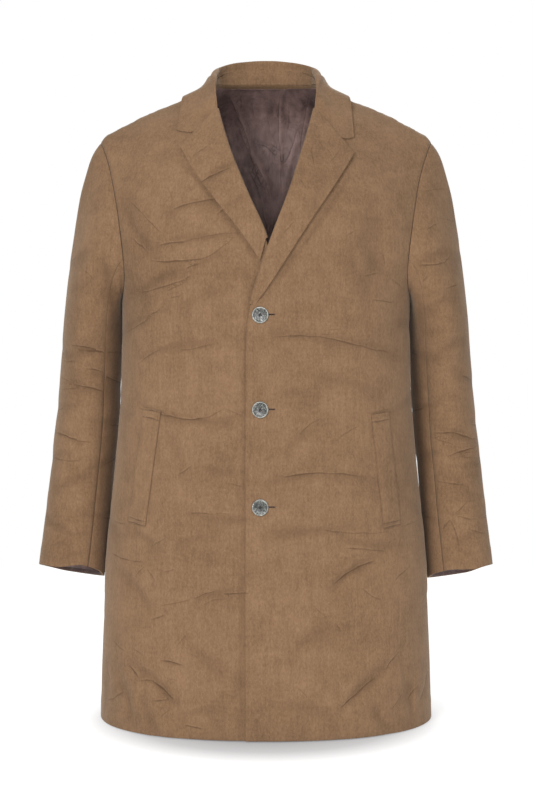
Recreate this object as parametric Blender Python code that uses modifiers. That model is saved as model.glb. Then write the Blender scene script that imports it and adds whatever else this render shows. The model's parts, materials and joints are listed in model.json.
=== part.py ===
"""A single-breasted overcoat with notched lapels, filled out as if worn and open inside.

Metres, +Z up. The origin is midway between the two side-neck points, the front faces -Y, and the
wearer's left is +X. Every cloth piece is a wall between an outer and an inner grid of points. Both
grids come from one body surface and its normals, so pieces that meet at a seam stay SEAM apart.
Angles round the body run from 0 at the centre front through 90 at the wearer's left side.
"""
import math

import bmesh
import bpy
import mathutils
import numpy as np

# ---- Cloth and seams ----
CLOTH = 0.0022  # thickness of the coat's wool
LINING = 0.0012  # thickness of the satin lining
SEAM = 0.0003  # gap between pieces that are sewn together
LAYER = 0.0008  # gap between layers that lie on each other
LINING_GAP = 0.0005  # gap between the wool and its lining
LINING_DROP = 0.004  # how far the lining stops short of the neck seam and the cuffs

# ---- Body: half width, front depth and back depth at each height ----
BODY_COLUMNS = ("height", "half_width", "front", "back")
BODY = np.array([
    (0.050, 0.2620, 0.132, 0.120),
    (-0.080, 0.2620, 0.137, 0.124),
    (-0.148, 0.2506, 0.140, 0.127),
    (-0.215, 0.2380, 0.141, 0.128),
    (-0.256, 0.2265, 0.141, 0.128),
    (-0.315, 0.2103, 0.140, 0.127),
    (-0.390, 0.2110, 0.140, 0.126),
    (-0.464, 0.2130, 0.140, 0.126),
    (-0.518, 0.2175, 0.141, 0.127),
    (-0.590, 0.2240, 0.143, 0.129),
    (-0.669, 0.2310, 0.145, 0.131),
    (-0.757, 0.2360, 0.147, 0.133),
    (-0.832, 0.2395, 0.149, 0.135),
    (-0.921, 0.2416, 0.151, 0.137),
])
ROUNDNESS = 2.3  # exponent of the body's sections: 2 is an ellipse, more is squarer
HEM = -0.921
ARMPIT = -0.315
SHOULDER_SLOPE = 0.4938
NECK_WIDTH = 0.075  # from the centre to the side-neck point
SHOULDER_SWELL = 0.0016  # how far the shoulder line rises over a straight one
SHOULDER_TIP = 0.236
NECK_RISE = 0.0185  # the shoulder line's height over the centre of the neck
NECK_BACK = 0.066  # how far the back neck seam goes behind the side-neck points
# How far below the shoulder line the body reaches its full depth, and how squarely it turns over
FRONT_ARCH = (0.25, 0.72)
BACK_ARCH = (0.085, 0.50)

# ---- Armhole: angle round the body at each height, the same in front and behind ----
ARMHOLE_COLUMNS = ("share", "angle", "height")
ARMHOLE = np.array([
    (0.00, 90.0, -0.3150),
    (0.10, 77.0, -0.3070),
    (0.20, 67.5, -0.2880),
    (0.30, 62.0, -0.2580),
    (0.45, 58.8, -0.2150),
    (0.70, 58.4, -0.1480),
    (0.85, 59.8, -0.1120),
    (1.00, 62.5, -0.0795),
])

# ---- Front edges from the hem to the side-neck point: across and height ----
EDGE_COLUMNS = ("across", "height")
LEFT_EDGE = np.array([
    (-0.0280, -0.921),
    (-0.0282, -0.700),
    (-0.0282, -0.500),
    (-0.0280, -0.360),
    (-0.0257, -0.336),
    (-0.0190, -0.3126),
    (-0.0107, -0.288),
    (-0.0013, -0.2583),
    (0.0155, -0.214),
    (0.0376, -0.1555),
    (0.0510, -0.112),
    (0.0620, -0.0755),
    (0.0700, -0.045),
    (0.0738, -0.022),
    (0.0750, -0.0002),
])
RIGHT_EDGE = np.array([
    (0.0180, -0.921),
    (0.0180, -0.700),
    (0.0180, -0.500),
    (0.0180, -0.360),
    (0.0175, -0.325),
    (0.0165, -0.305),
    (0.0140, -0.280),
    (0.0095, -0.2583),
    (-0.0056, -0.214),
    (-0.0330, -0.1555),
    (-0.0500, -0.112),
    (-0.0620, -0.0755),
    (-0.0700, -0.045),
    (-0.0738, -0.022),
    (-0.0750, -0.0002),
])
GORGE = -0.045  # height at which the roll line meets the neck seam
NECK_ROWS = (-0.018, -0.0002)  # heights of the fronts' last rows, between the gorge and the shoulder
LIFT = CLOTH + LAYER  # the left front lies this much outside the right
LIFT_FROM, LIFT_TO = 0.030, 0.090  # across: full lift to none

# ---- Largest folds: a soft trough (minus) or ridge (plus) between two points, seen from its side ----
FOLD_COLUMNS = ("side", "x1", "z1", "x2", "z2", "width", "depth")
FOLDS = [
    ("front", 0.030, -0.370, 0.170, -0.395, 0.022, -0.0028),
    ("front", 0.010, -0.660, 0.190, -0.650, 0.034, -0.0030),
    ("front", 0.020, -0.577, 0.150, -0.575, 0.030, 0.0022),
    ("front", 0.150, -0.205, 0.165, -0.290, 0.026, -0.0032),
    ("front", 0.120, -0.900, 0.185, -0.850, 0.030, 0.0035),
    ("front", -0.155, -0.240, -0.050, -0.230, 0.024, -0.0022),
    ("front", -0.190, -0.320, -0.120, -0.280, 0.024, -0.0030),
    ("front", -0.170, -0.485, -0.030, -0.490, 0.030, -0.0026),
    ("front", -0.180, -0.860, -0.140, -0.905, 0.028, 0.0035),
    ("front", -0.090, -0.760, -0.020, -0.740, 0.034, -0.0024),
    ("back", -0.150, -0.350, -0.030, -0.410, 0.032, -0.0035),
    ("back", 0.150, -0.340, 0.040, -0.390, 0.030, -0.0032),
    ("back", -0.120, -0.560, 0.130, -0.585, 0.036, -0.0038),
    ("back", 0.140, -0.760, 0.150, -0.900, 0.034, 0.0040),
    ("back", -0.110, -0.720, -0.125, -0.905, 0.036, 0.0042),
]

# ---- Grid: rows and columns of each piece ----
LOWER_ROWS = 20  # from the hem to the armpit
UPPER_ROWS = 10  # from the armpit to the shoulder
FRONT_COLUMNS = 11
NECK_COLUMNS = 4  # of the half back, under the neck seam
SHOULDER_COLUMNS = 5  # of the half back, under the shoulder seam

# ---- Sleeve: rings from the bicep to the cuff ----
SLEEVE_COLUMNS = ("height", "across", "back", "half_width", "half_depth")
SLEEVE = np.array([
    (-0.345, 0.2546, 0.018, 0.0429, 0.078),
    (-0.390, 0.2571, 0.028, 0.0449, 0.073),
    (-0.440, 0.2612, 0.036, 0.0458, 0.068),
    (-0.490, 0.2645, 0.040, 0.0470, 0.063),
    (-0.545, 0.2695, 0.036, 0.0470, 0.058),
    (-0.600, 0.2748, 0.025, 0.0472, 0.054),
    (-0.655, 0.2800, 0.0127, 0.0474, 0.051),
    (-0.7115, 0.2853, 0.000, 0.0472, 0.048),
])
CAP_ROWS = 5  # from the armhole to the bicep
SLEEVE_ROWS = 12  # from the bicep to the cuff
CAP_START = 0.45  # how strongly the cap leaves the armhole, against its length
CAP_END = 0.80
CUFF_SLANT = 0.06  # how much further the inner side of the cuff hangs than its axis gives
FOREARM_SEAM = 7  # columns from the shoulder tip to the front seam of the sleeve
HINDARM_SEAM = 7  # and to the back seam
CUFF_LINING_ROWS = 7
SLEEVE_FOLDS = [  # side of the coat, column round the sleeve, height, half length, half width, depth
    (1, 4, -0.270, 40, 0.018, -0.0030),
    (1, 5, -0.510, 50, 0.018, -0.0034),
    (1, 2, -0.545, 40, 0.016, 0.0020),
    (1, -5, -0.480, 50, 0.020, -0.0030),
    (-1, 5, -0.392, 55, 0.018, -0.0032),
    (-1, 4, -0.445, 55, 0.018, -0.0030),
    (-1, 2, -0.510, 40, 0.016, 0.0020),
    (-1, -5, -0.500, 50, 0.020, -0.0030),
]

# ---- Lapels: outer edge from the bottom up, left as worn and right ----
FOLD_RADIUS = 0.0013  # inside radius of the roll of the collar and lapels
LAPEL_COLUMNS = ("share", "across", "height")
LEFT_LAPEL = np.array([
    (0.00, -0.0150, -0.3200),
    (0.12, -0.0040, -0.3060),
    (0.34, 0.0250, -0.2610),
    (0.56, 0.0560, -0.2130),
    (0.78, 0.0870, -0.1665),
    (0.92, 0.1110, -0.1310),
    (1.00, 0.1230, -0.1096),
])
RIGHT_LAPEL = np.array([
    (0.00, -0.0080, -0.2600),
    (0.20, -0.0290, -0.2260),
    (0.45, -0.0580, -0.1910),
    (0.75, -0.0870, -0.1530),
    (0.90, -0.1080, -0.1240),
    (1.00, -0.1205, -0.0997),
])
LEFT_NOTCH = (0.1076, -0.0908)
RIGHT_NOTCH = (-0.1025, -0.0806)
LEFT_LAPEL_BOTTOM = -0.3200  # heights at which the lapels' roll lines start
RIGHT_LAPEL_BOTTOM = -0.2290
ROW_CLEAR = 0.002  # a lapel's row goes at each of the front's rows, unless it is this close to the foot
LAPEL_SHARES = (0.12, 0.28, 0.46, 0.64, 0.82, 1.0)  # columns across the wing
WING_LIFT = 0.0008  # how much further out the lapel's outer edge lies

# ---- Collar: the fold's ridge and the outer edge, from the centre back to the gorge ----
COLLAR_COLUMNS = ("share", "ridge_x", "ridge_y", "ridge_z", "edge_x", "edge_y", "stand")
COLLAR = np.array([
    (0.00, 0.0000, 0.0745, 0.0435, 0.0000, 0.1000, 0.0240),
    (0.18, 0.0300, 0.0690, 0.0418, 0.0440, 0.0940, 0.0230),
    (0.36, 0.0560, 0.0520, 0.0365, 0.0850, 0.0720, 0.0195),
    (0.54, 0.0700, 0.0290, 0.0270, 0.1090, 0.0370, 0.0120),
    (0.72, 0.0745, -0.0040, 0.0130, 0.1165, 0.0000, 0.0030),
    (0.86, 0.0727, -0.0450, -0.0065, 0.1215, -0.0360, 0.0000),
])
SIDE_NECK = 0.72  # share of the half collar that lies behind the shoulder seam
STAND_END = 0.80  # share at which the stand ends
STAND_LEAST = 0.0006
LEFT_CORNER = (0.1245, -0.0850)
RIGHT_CORNER = (-0.1270, -0.0745)
COLLAR_REST = 0.0030  # how far the collar's outer edge stands off the shoulder
FALL_SHARES = (0.0, 0.10, 0.28, 0.46, 0.64, 0.82, 1.0)
FALL_BEND = 0.35  # how straight down the fall starts, against its length
FALL_SWELL = 0.20  # and how far it swells out at the sides of the neck
FOLD_STEPS = 4  # facets round the roll
ROLL_STEP = 0.012  # half the length over which the roll line's direction is read
ROLL_CLEAR = 0.0006  # least gap between the neck seam and the collar's roll
SEAM_STEP = 0.06  # half the share of the neck seam over which its direction is read
ROLL_CLOSED = 0.65  # how tight the roll is at its foot, against FOLD_RADIUS
ROLL_OPENS = 0.35  # share of the lapel over which it opens
REST_REACH = 0.018  # how far round a point the body's panels are felt

# ---- Pocket welts: centre, slant and size ----
WELT_LENGTH = 0.164
WELT_WIDTH = 0.026
WELT_THICKNESS = 0.0016
WELTS = {"welt_left": (0.168, -0.5535, 6.2), "welt_right": (-0.1705, -0.5503, -7.7)}
WELT_GRID = (9, 3)
WELT_GAP = 0.0007

# ---- Buttons ----
BUTTON_ACROSS = -0.008
BUTTON_HEIGHTS = (-0.335, -0.466, -0.6005)
BUTTON_RADIUS = 0.0115
BUTTON_THICKNESS = 0.0034
BUTTON_DISH = 0.0011  # depth of the dish inside the rim
BUTTON_RIM = 0.0026
BUTTON_HOLE_RADIUS = 0.00105
BUTTON_HOLE_OFFSET = 0.0017
BUTTON_HOLE_SIDES = 8
BUTTON_SIDES = 22
BUTTON_EASE = 0.0004  # how far its edges are eased
BUTTON_GAP = 0.0006

TINY = 1e-5  # step for slopes


# ---------------------------------------------------------------- small helpers
def unit(vector):
    return vector / np.linalg.norm(vector, axis=-1, keepdims=True)


def smooth(share):
    share = np.clip(share, 0.0, 1.0)
    return share * share * (3.0 - 2.0 * share)


def curve(places, values, place):
    """A smooth curve through values at rising places, read at one place."""
    place = min(max(place, places[0]), places[-1])
    slopes = np.gradient(values, places, axis=0)
    k = min(int(np.searchsorted(places, place, side="right")) - 1, len(places) - 2)
    step = places[k + 1] - places[k]
    t = (place - places[k]) / step
    rise = (
        (2 * t**3 - 3 * t**2 + 1) * values[k]
        + (t**3 - 2 * t**2 + t) * step * slopes[k]
        + (3 * t**2 - 2 * t**3) * values[k + 1]
        + (t**3 - t**2) * step * slopes[k + 1]
    )
    return rise


def lengths_along(points):
    steps = np.linalg.norm(np.diff(points, axis=0), axis=1)
    return np.concatenate([[0.0], np.cumsum(steps)])


# ---------------------------------------------------------------- body surface
def body_size(height):
    """Half width, front depth and back depth at a height."""
    return curve(BODY[::-1, 0], BODY[::-1, 1:], height)


def shoulder_height(across):
    across = abs(across)
    if across > NECK_WIDTH:
        share = min((across - NECK_WIDTH) / (SHOULDER_TIP - NECK_WIDTH), 1.0)
        return SHOULDER_SWELL * math.sin(math.pi * share) - SHOULDER_SLOPE * (across - NECK_WIDTH)
    return NECK_RISE * (1.0 - (across / NECK_WIDTH) ** 2)


def shoulder_normal(across):
    slope = (shoulder_height(across - TINY) - shoulder_height(across + TINY)) / (2 * TINY)
    return unit(np.array([slope, 0.0, 1.0]))


def arch(drop, arch_shape):
    """Share of the full depth at a drop below the shoulder line."""
    reach, power = arch_shape
    share = 1.0 - min(max(drop, 0.0) / reach, 1.0)
    return (1.0 - share * share) ** power


def body_point(angle, height):
    """Point of the coat's outer surface, before folds."""
    half_width, front, back = body_size(height)
    sine, cosine = math.sin(math.radians(angle)), math.cos(math.radians(angle))
    x = half_width * math.copysign(abs(sine) ** (2.0 / ROUNDNESS), sine)
    depth, arch_shape = (front, FRONT_ARCH) if cosine > 0 else (back, BACK_ARCH)
    reach = depth * abs(cosine) ** (2.0 / ROUNDNESS) * arch(shoulder_height(x) - height, arch_shape)
    return np.array([x, -math.copysign(reach, cosine), height])


def body_normal(angle, height):
    point = body_point(angle, height)
    if shoulder_height(point[0]) - height < 10 * TINY:
        return shoulder_normal(point[0])
    turn = math.degrees(TINY)
    round_body = body_point(angle + turn, height) - body_point(angle - turn, height)
    up_body = body_point(angle, height + TINY) - body_point(angle, height - TINY)
    return unit(np.cross(round_body, up_body))


def angle_of(across, height, behind=False):
    """Angle round the body of a point that lies at this distance across, in front or behind."""
    half_width = body_size(height)[0]
    turn = math.degrees(math.asin(min(abs(across) / half_width, 1.0) ** (ROUNDNESS / 2.0)))
    turn = 180.0 - turn if behind else turn
    return math.copysign(turn, across)


def height_at(across, depth):
    """Height of the surface over a point of the plan: behind the shoulder line if depth is positive."""
    height = shoulder_height(across)
    for _ in range(6):
        half_width, front, back = body_size(height)
        full, (reach, power) = (back, BACK_ARCH) if depth > 0 else (front, FRONT_ARCH)
        narrow = (1.0 - min(abs(across) / half_width, 0.999) ** ROUNDNESS) ** (1.0 / ROUNDNESS)
        share = min(abs(depth) / (full * narrow), 0.9999) ** (1.0 / power)
        height = shoulder_height(across) - reach * (1.0 - math.sqrt(1.0 - share))
    return height


def fold_depth(point):
    """How far the folds move a point out, from its place on the plain surface."""
    total = 0.0
    for side, x1, z1, x2, z2, width, depth in FOLDS:
        facing = -1.0 if side == "front" else 1.0
        facing_it = smooth((facing * point[1] - 0.02) / 0.05)
        start, along = np.array([x1, z1]), np.array([x2 - x1, z2 - z1])
        place = np.array([point[0], point[2]]) - start
        share = np.clip(place @ along / (along @ along), 0.0, 1.0)
        away = np.linalg.norm(place - share * along) / width
        swell = 0.65 + 0.35 * math.sin(math.pi * (0.15 + 0.8 * share))
        total += depth * swell * facing_it * math.exp(-away * away)
    return total


def lift_left(point):
    """How far the left front lies outside the right where they overlap."""
    across = 1.0 - smooth((point[0] - LIFT_FROM) / (LIFT_TO - LIFT_FROM))
    below_neck = 1.0 - smooth((point[2] + 0.17) / 0.08)
    return LIFT * across * below_neck


# ---------------------------------------------------------------- panels
class Panel:
    """A grid of outer points and their normals, read at any place between its points."""

    def __init__(self, places, lift=None):
        points = np.array([[body_point(angle, height) for angle, height in row] for row in places])
        self.normals = np.array([[body_normal(angle, height) for angle, height in row] for row in places])
        moves = np.array([[fold_depth(p) + (lift(p) if lift else 0.0) for p in row] for row in points])
        self.places = places
        self.points = points + self.normals * moves[..., None]

    def at(self, across, height):
        """Point and normal of the panel's own facets at a place seen from the front."""
        target = np.array([across, height])
        plan = self.points[..., [0, 2]]
        centres = (plan[1:, 1:] + plan[1:, :-1] + plan[:-1, 1:] + plan[:-1, :-1]) / 4
        distances = np.linalg.norm(centres - target, axis=-1)
        nearest = np.dstack(np.unravel_index(np.argsort(distances, axis=None)[:6], distances.shape))[0]
        best = None
        for i, j in nearest:
            quad = np.s_[i:i + 2, j:j + 2]
            u, v = self.place_in(plan[quad], target)
            outside = max(abs(u - 0.5), abs(v - 0.5))
            if best is None or outside < best[0]:
                best = (outside, quad, u, v)
        _, quad, u, v = best
        weights = np.array([[(1 - u) * (1 - v), (1 - u) * v], [u * (1 - v), u * v]])[..., None]
        point = (self.points[quad] * weights).sum(axis=(0, 1))
        return point, unit((self.normals[quad] * weights).sum(axis=(0, 1)))

    @staticmethod
    def place_in(quad, target):
        """Shares up and across a four-cornered facet at which it passes through the target."""
        u, v = 0.5, 0.5
        for _ in range(8):
            weights = np.array([[(1 - u) * (1 - v), (1 - u) * v], [u * (1 - v), u * v]])
            miss = target - (quad * weights[..., None]).sum(axis=(0, 1))
            by_u = (quad[1] - quad[0]).T @ np.array([1 - v, v])
            by_v = (quad[:, 1] - quad[:, 0]).T @ np.array([1 - u, u])
            step = np.linalg.lstsq(np.array([by_u, by_v]).T, miss, rcond=None)[0]
            u, v = np.clip([u + step[0], v + step[1]], -2.0, 3.0)
        return u, v


def side_place(row):
    """Angle from the centre and height of the side seam and armhole, from the hem up."""
    if row <= LOWER_ROWS:
        return 90.0, HEM + (ARMPIT - HEM) * row / LOWER_ROWS
    share = (row - LOWER_ROWS) / UPPER_ROWS
    return tuple(curve(ARMHOLE[:, 0], ARMHOLE[:, 1:], share))


def edge_places(edge):
    """Angle and height of a front edge at each row: level with the side below the armpit."""
    heights = [side_place(row)[1] for row in range(LOWER_ROWS)]
    heights += list(np.linspace(ARMPIT, GORGE, UPPER_ROWS - len(NECK_ROWS) + 1))
    places = []
    for height in heights + list(NECK_ROWS):
        across = float(np.interp(height, edge[:, 1], edge[:, 0]))
        places.append((angle_of(across, height), height))
    return places


def front_panel(side, edge, lift=None):
    """The front on one side: side is 1 on the wearer's left."""
    left = edge_places(edge)
    tip_angle = ARMHOLE[-1, 1]
    rows = []
    for row, (edge_angle, edge_height) in enumerate(left):
        seam_angle, seam_height = side_place(row)
        up = max(row - LOWER_ROWS, 0) / UPPER_ROWS
        places = []
        for column in range(FRONT_COLUMNS + 1):
            u = column / FRONT_COLUMNS
            angle = edge_angle + (side * seam_angle - edge_angle) * u
            height = edge_height + (seam_height - edge_height) * u
            top_angle = left[-1][0] + (side * tip_angle - left[-1][0]) * u
            top_height = on_shoulder(top_angle)
            straight = left[-1][1] + (ARMHOLE[-1, 2] - left[-1][1]) * u
            places.append((angle, height + up * (top_height - straight)))
        rows.append(places)
    rows[-1] = [(angle, on_shoulder(angle)) for angle, _ in rows[-1]]
    return Panel(rows, lift)


def on_shoulder(angle):
    """Height at which an angle round the body meets the shoulder line."""
    height = 0.0
    for _ in range(30):
        height = shoulder_height(body_point(angle, height)[0])
    return height


def back_panel():
    """The whole back, from the wearer's right armhole to the left one."""
    neck_angle = angle_of(NECK_WIDTH, 0.0)
    tip_angle = ARMHOLE[-1, 1]
    columns = NECK_COLUMNS + SHOULDER_COLUMNS
    top = []
    for column in range(columns + 1):
        if column < NECK_COLUMNS:
            turn = math.radians(90.0 * column / NECK_COLUMNS)
            x, y = NECK_WIDTH * math.sin(turn), NECK_BACK * math.cos(turn)
            height = height_at(x, y)
            top.append((angle_of(x, height), height))
        else:
            share = (column - NECK_COLUMNS) / SHOULDER_COLUMNS
            angle = neck_angle + (tip_angle - neck_angle) * share
            top.append((angle, on_shoulder(angle)))
    rows = []
    for row in range(LOWER_ROWS + UPPER_ROWS + 1):
        seam_angle, seam_height = side_place(row)
        up = max(row - LOWER_ROWS, 0) / UPPER_ROWS
        centre = seam_height if row <= LOWER_ROWS else ARMPIT + (top[0][1] - ARMPIT) * up
        half = []
        for column in range(columns + 1):
            u = column / columns
            straight_angle, straight_height = tip_angle * u, top[0][1] + (ARMHOLE[-1, 2] - top[0][1]) * u
            angle = seam_angle * u + up * (top[column][0] - straight_angle)
            height = centre + (seam_height - centre) * u + up * (top[column][1] - straight_height)
            half.append((angle, height))
        left = [(180.0 - angle, height) for angle, height in half]
        right = [(-180.0 + angle, height) for angle, height in half]
        rows.append(right[:0:-1] + left)
    return Panel(rows)


# ---------------------------------------------------------------- meshes
def material(name, colour, roughness, metallic=0.0):
    made = bpy.data.materials.new(name)
    made.use_nodes = True
    shader = made.node_tree.nodes["Principled BSDF"]
    shader.inputs["Base Color"].default_value = (*colour, 1.0)
    shader.inputs["Roughness"].default_value = roughness
    shader.inputs["Metallic"].default_value = metallic
    return made


def add_mesh(name, bm, surface):
    mesh = bpy.data.meshes.new(name)
    bmesh.ops.recalc_face_normals(bm, faces=bm.faces)
    bm.to_mesh(mesh)
    bm.free()
    mesh.shade_smooth()
    mesh.set_sharp_from_angle(angle=math.radians(50))
    mesh.materials.append(surface)
    made = bpy.data.objects.new(name, mesh)
    coat.objects.link(made)
    return made


def cloth_wall(name, outer, inner, surface, closed=False):
    """A closed wall between two grids of points. A closed grid's last column meets its first.

    Solidify would turn each piece's edge by that piece's own faces, and neighbours would then cross
    at their seams, so both sides of the wall are given here.
    """
    bm = bmesh.new()
    rows, columns = outer.shape[:2]
    sides = [[[bm.verts.new(point) for point in row] for row in grid] for grid in (outer, inner)]
    steps = columns if closed else columns - 1
    for grid in sides:
        for i in range(rows - 1):
            for j in range(steps):
                k = (j + 1) % columns
                bm.faces.new((grid[i][j], grid[i][k], grid[i + 1][k], grid[i + 1][j]))
    out, into = sides
    for i in (0, rows - 1):
        for j in range(steps):
            k = (j + 1) % columns
            bm.faces.new((out[i][j], out[i][k], into[i][k], into[i][j]))
    if not closed:
        for j in (0, columns - 1):
            for i in range(rows - 1):
                bm.faces.new((out[i][j], out[i + 1][j], into[i + 1][j], into[i][j]))
    return add_mesh(name, bm, surface)


def part_edges(grids, edges):
    """Move whole edges of an outer and inner grid in by half a seam, both by the same steps.

    edges names them: first and last are columns, bottom and top are rows.
    """
    outer, inner = (grid.copy() for grid in grids)
    where = {
        "first": (np.s_[:, 0], np.s_[:, 1]),
        "last": (np.s_[:, -1], np.s_[:, -2]),
        "bottom": (np.s_[0], np.s_[1]),
        "top": (np.s_[-1], np.s_[-2]),
    }
    for edge in edges:
        at_edge, next_to_it = where[edge]
        step = unit(outer[next_to_it] - outer[at_edge]) * SEAM / 2
        outer[at_edge] += step
        inner[at_edge] += step
    return outer, inner


# ---------------------------------------------------------------- body pieces
def make_body():
    left = front_panel(1, LEFT_EDGE, lift_left)
    right = front_panel(-1, RIGHT_EDGE)
    back = back_panel()
    half_seam = np.array([0.0, SEAM / 2, 0.0])
    for name, panel in (("front_left", left), ("front_right", right), ("back", back)):
        outer, inner = panel.points.copy(), panel.points - panel.normals * CLOTH
        away = half_seam if name == "back" else -half_seam
        seams = [np.s_[:LOWER_ROWS + 1, -1]]
        if name == "back":
            seams.append(np.s_[:LOWER_ROWS + 1, 0])
            seams.append(np.s_[-1, :SHOULDER_COLUMNS + 1])
            seams.append(np.s_[-1, -SHOULDER_COLUMNS - 1:])
        else:
            seams.append(np.s_[-1, :])
        moved = np.zeros(outer.shape)
        for seam in seams:
            moved[seam] = away
        cloth_wall(name, outer + moved, inner + moved, wool)
    make_back_lining(back)
    return left, right, back


def make_back_lining(back):
    """The lining behind the back panel, short of its hem and clear of its seams."""
    points, normals = back.points[1:, 1:-1], back.normals[1:, 1:-1]
    outer = points - normals * (CLOTH + LINING_GAP)
    inner = outer - normals * LINING
    drop = LINING_DROP * unit(outer[-2] - outer[-1])
    outer[-1] += drop
    inner[-1] += drop
    cloth_wall("back_lining", outer, inner, satin)


# ---------------------------------------------------------------- sleeves
def sleeve_ring(height):
    across, back, half_width, half_depth = curve(SLEEVE[::-1, 0], SLEEVE[::-1, 1:], height)
    above, below = (curve(SLEEVE[::-1, 0], SLEEVE[::-1, 1:3], height + move) for move in (0.01, -0.01))
    lowest = SLEEVE[-1, 0]
    span = 0.02 if lowest + 0.01 < height < SLEEVE[0, 0] - 0.01 else 0.01
    down = unit(np.array([below[0] - above[0], below[1] - above[1], -span]))
    outward = unit(np.cross(down, (0.0, 1.0, 0.0)))
    behind = np.cross(outward, down)
    return np.array([across, back, height]), outward, behind, half_width, half_depth


def armhole_loop(front, back_points, side):
    """The armhole's points and normals from the shoulder tip down the front and up behind."""
    rows = range(LOWER_ROWS + UPPER_ROWS, LOWER_ROWS - 1, -1)
    column = -1 if side > 0 else 0
    down = [(front.points[row, -1], front.normals[row, -1]) for row in rows]
    up = [(back_points.points[row, column], back_points.normals[row, column]) for row in rows][::-1]
    loop = down + up[1:-1]
    return np.array([p for p, _ in loop]), np.array([n for _, n in loop])


def sleeve_grid(front, back, side):
    """Outer and inner points of one sleeve, rows from the armhole to the cuff, round from the tip."""
    hole, hole_normals = armhole_loop(front, back, side)
    if side < 0:
        hole, hole_normals = hole * (-1, 1, 1), hole_normals * (-1, 1, 1)
    count = len(hole)
    turns = 2 * math.pi * np.arange(count) / count
    tangents = unit(np.roll(hole, -1, axis=0) - np.roll(hole, 1, axis=0))
    outward = unit(np.cross(hole_normals, tangents))
    lean = (math.pi / 2 * (1 - np.cos(turns)) / 2)[:, None]
    leave = np.cos(lean) * outward + np.sin(lean) * hole_normals
    into = np.sin(lean) * outward - np.cos(lean) * hole_normals
    start = hole + leave * SEAM
    bicep = SLEEVE[0, 0]
    heights = np.linspace(bicep, SLEEVE[-1, 0], SLEEVE_ROWS + 1)
    rings = []
    for height in heights:
        centre, across, behind, half_width, half_depth = sleeve_ring(height)
        ring = centre + np.outer(np.cos(turns), across) * half_width
        rings.append(ring - np.outer(np.sin(turns), behind) * half_depth)
    first, second = rings[0], rings[1]
    span = np.linalg.norm(first - start, axis=1)[:, None]
    leave_by, arrive_by = leave * span * CAP_START, unit(second - first) * span * CAP_END
    rows = []
    for share in np.arange(CAP_ROWS) / CAP_ROWS:
        t = share
        rows.append(
            (2 * t**3 - 3 * t**2 + 1) * start + (t**3 - 2 * t**2 + t) * leave_by
            + (3 * t**2 - 2 * t**3) * first + (t**3 - t**2) * arrive_by
        )
    outer = np.array(rows + rings)
    near_cuff = smooth((bicep - heights) / (bicep - SLEEVE[-1, 0]) * 2 - 1)[:, None]
    outer[CAP_ROWS:, :, 2] += CUFF_SLANT * near_cuff * (outer[CAP_ROWS:, :, 0] - SLEEVE[-1, 1])
    round_it = np.roll(outer, -1, axis=1) - np.roll(outer, 1, axis=1)
    down_it = np.gradient(outer, axis=0)
    normals = unit(np.cross(round_it, down_it))
    normals[0] = -into
    for fold_side, column, height, reach, width, depth in SLEEVE_FOLDS:
        if fold_side == side:
            turn = np.degrees(np.angle(np.exp(1j * (turns - turns[column]))))
            away = (outer[..., 2] - height - 0.0004 * turn) / width
            strength = np.exp(-(turn / reach) ** 2) * np.exp(-away**2) * depth
            strength[:CAP_ROWS - 2] = 0.0
            outer = outer + normals * strength[..., None]
    inner = outer - normals * CLOTH
    mirror = np.array([side, 1, 1])
    return outer * mirror, inner * mirror, normals * mirror


def make_sleeve(front, back, side, word):
    outer, inner, normals = sleeve_grid(front, back, side)
    count = outer.shape[1]
    top = np.arange(-HINDARM_SEAM, FOREARM_SEAM + 1) % count
    under = np.arange(FOREARM_SEAM, count - HINDARM_SEAM + 1)
    for name, columns in ((f"top_sleeve_{word}", top), (f"under_sleeve_{word}", under)):
        pair = part_edges((outer[:, columns], inner[:, columns]), ("first", "last"))
        cloth_wall(name, *pair, wool)
    rows = np.s_[-CUFF_LINING_ROWS:]
    inset = CLOTH + LINING_GAP
    lining = outer[rows] - normals[rows] * inset
    lining[-1] += unit(lining[-2] - lining[-1]) * LINING_DROP
    cloth_wall(f"sleeve_lining_{word}", lining, lining - normals[rows] * LINING, satin, closed=True)


# ---------------------------------------------------------------- lapels and collar
def roll_frame(panel, height, side):
    """A front's own edge at a height: its point, the way out over the edge, and the normal."""
    edge, normals = panel.points[:, 0], panel.normals[:, 0]

    def at(level, values):
        return np.array([np.interp(level, edge[:, 2], values[:, axis]) for axis in range(3)])
    normal = unit(at(height, normals))
    along = unit(at(height + ROLL_STEP, edge) - at(height - ROLL_STEP, edge))
    return at(height, edge), unit(np.cross(along, normal)) * -side, normal


def roll_section(base, way, normal, radius):
    """Visible and hidden points round a fold: the wall starts at base, goes its way and turns over."""
    centre = base + normal * radius
    turns = np.radians(np.linspace(-90.0, 90.0, FOLD_STEPS + 1))
    round_it = np.outer(np.cos(turns), way) + np.outer(np.sin(turns), normal)
    return centre + round_it * (radius + CLOTH), centre + round_it * radius


def wing_point(panel, place, rest):
    """Visible and hidden points of a wing that rests this far above a place on a front."""
    point, normal = panel.at(*place)
    return point + normal * (rest + CLOTH), point + normal * rest


def gorge_places(start, notch, corner, shares):
    """Places along the gorge from the roll to the notch, then on to a corner of lapel or collar."""
    route = np.array([start, notch, corner])
    along = lengths_along(route)
    wanted = np.array(shares) * along[-1]
    return np.array([np.interp(wanted, along, route[:, 0]), np.interp(wanted, along, route[:, 1])]).T


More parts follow.
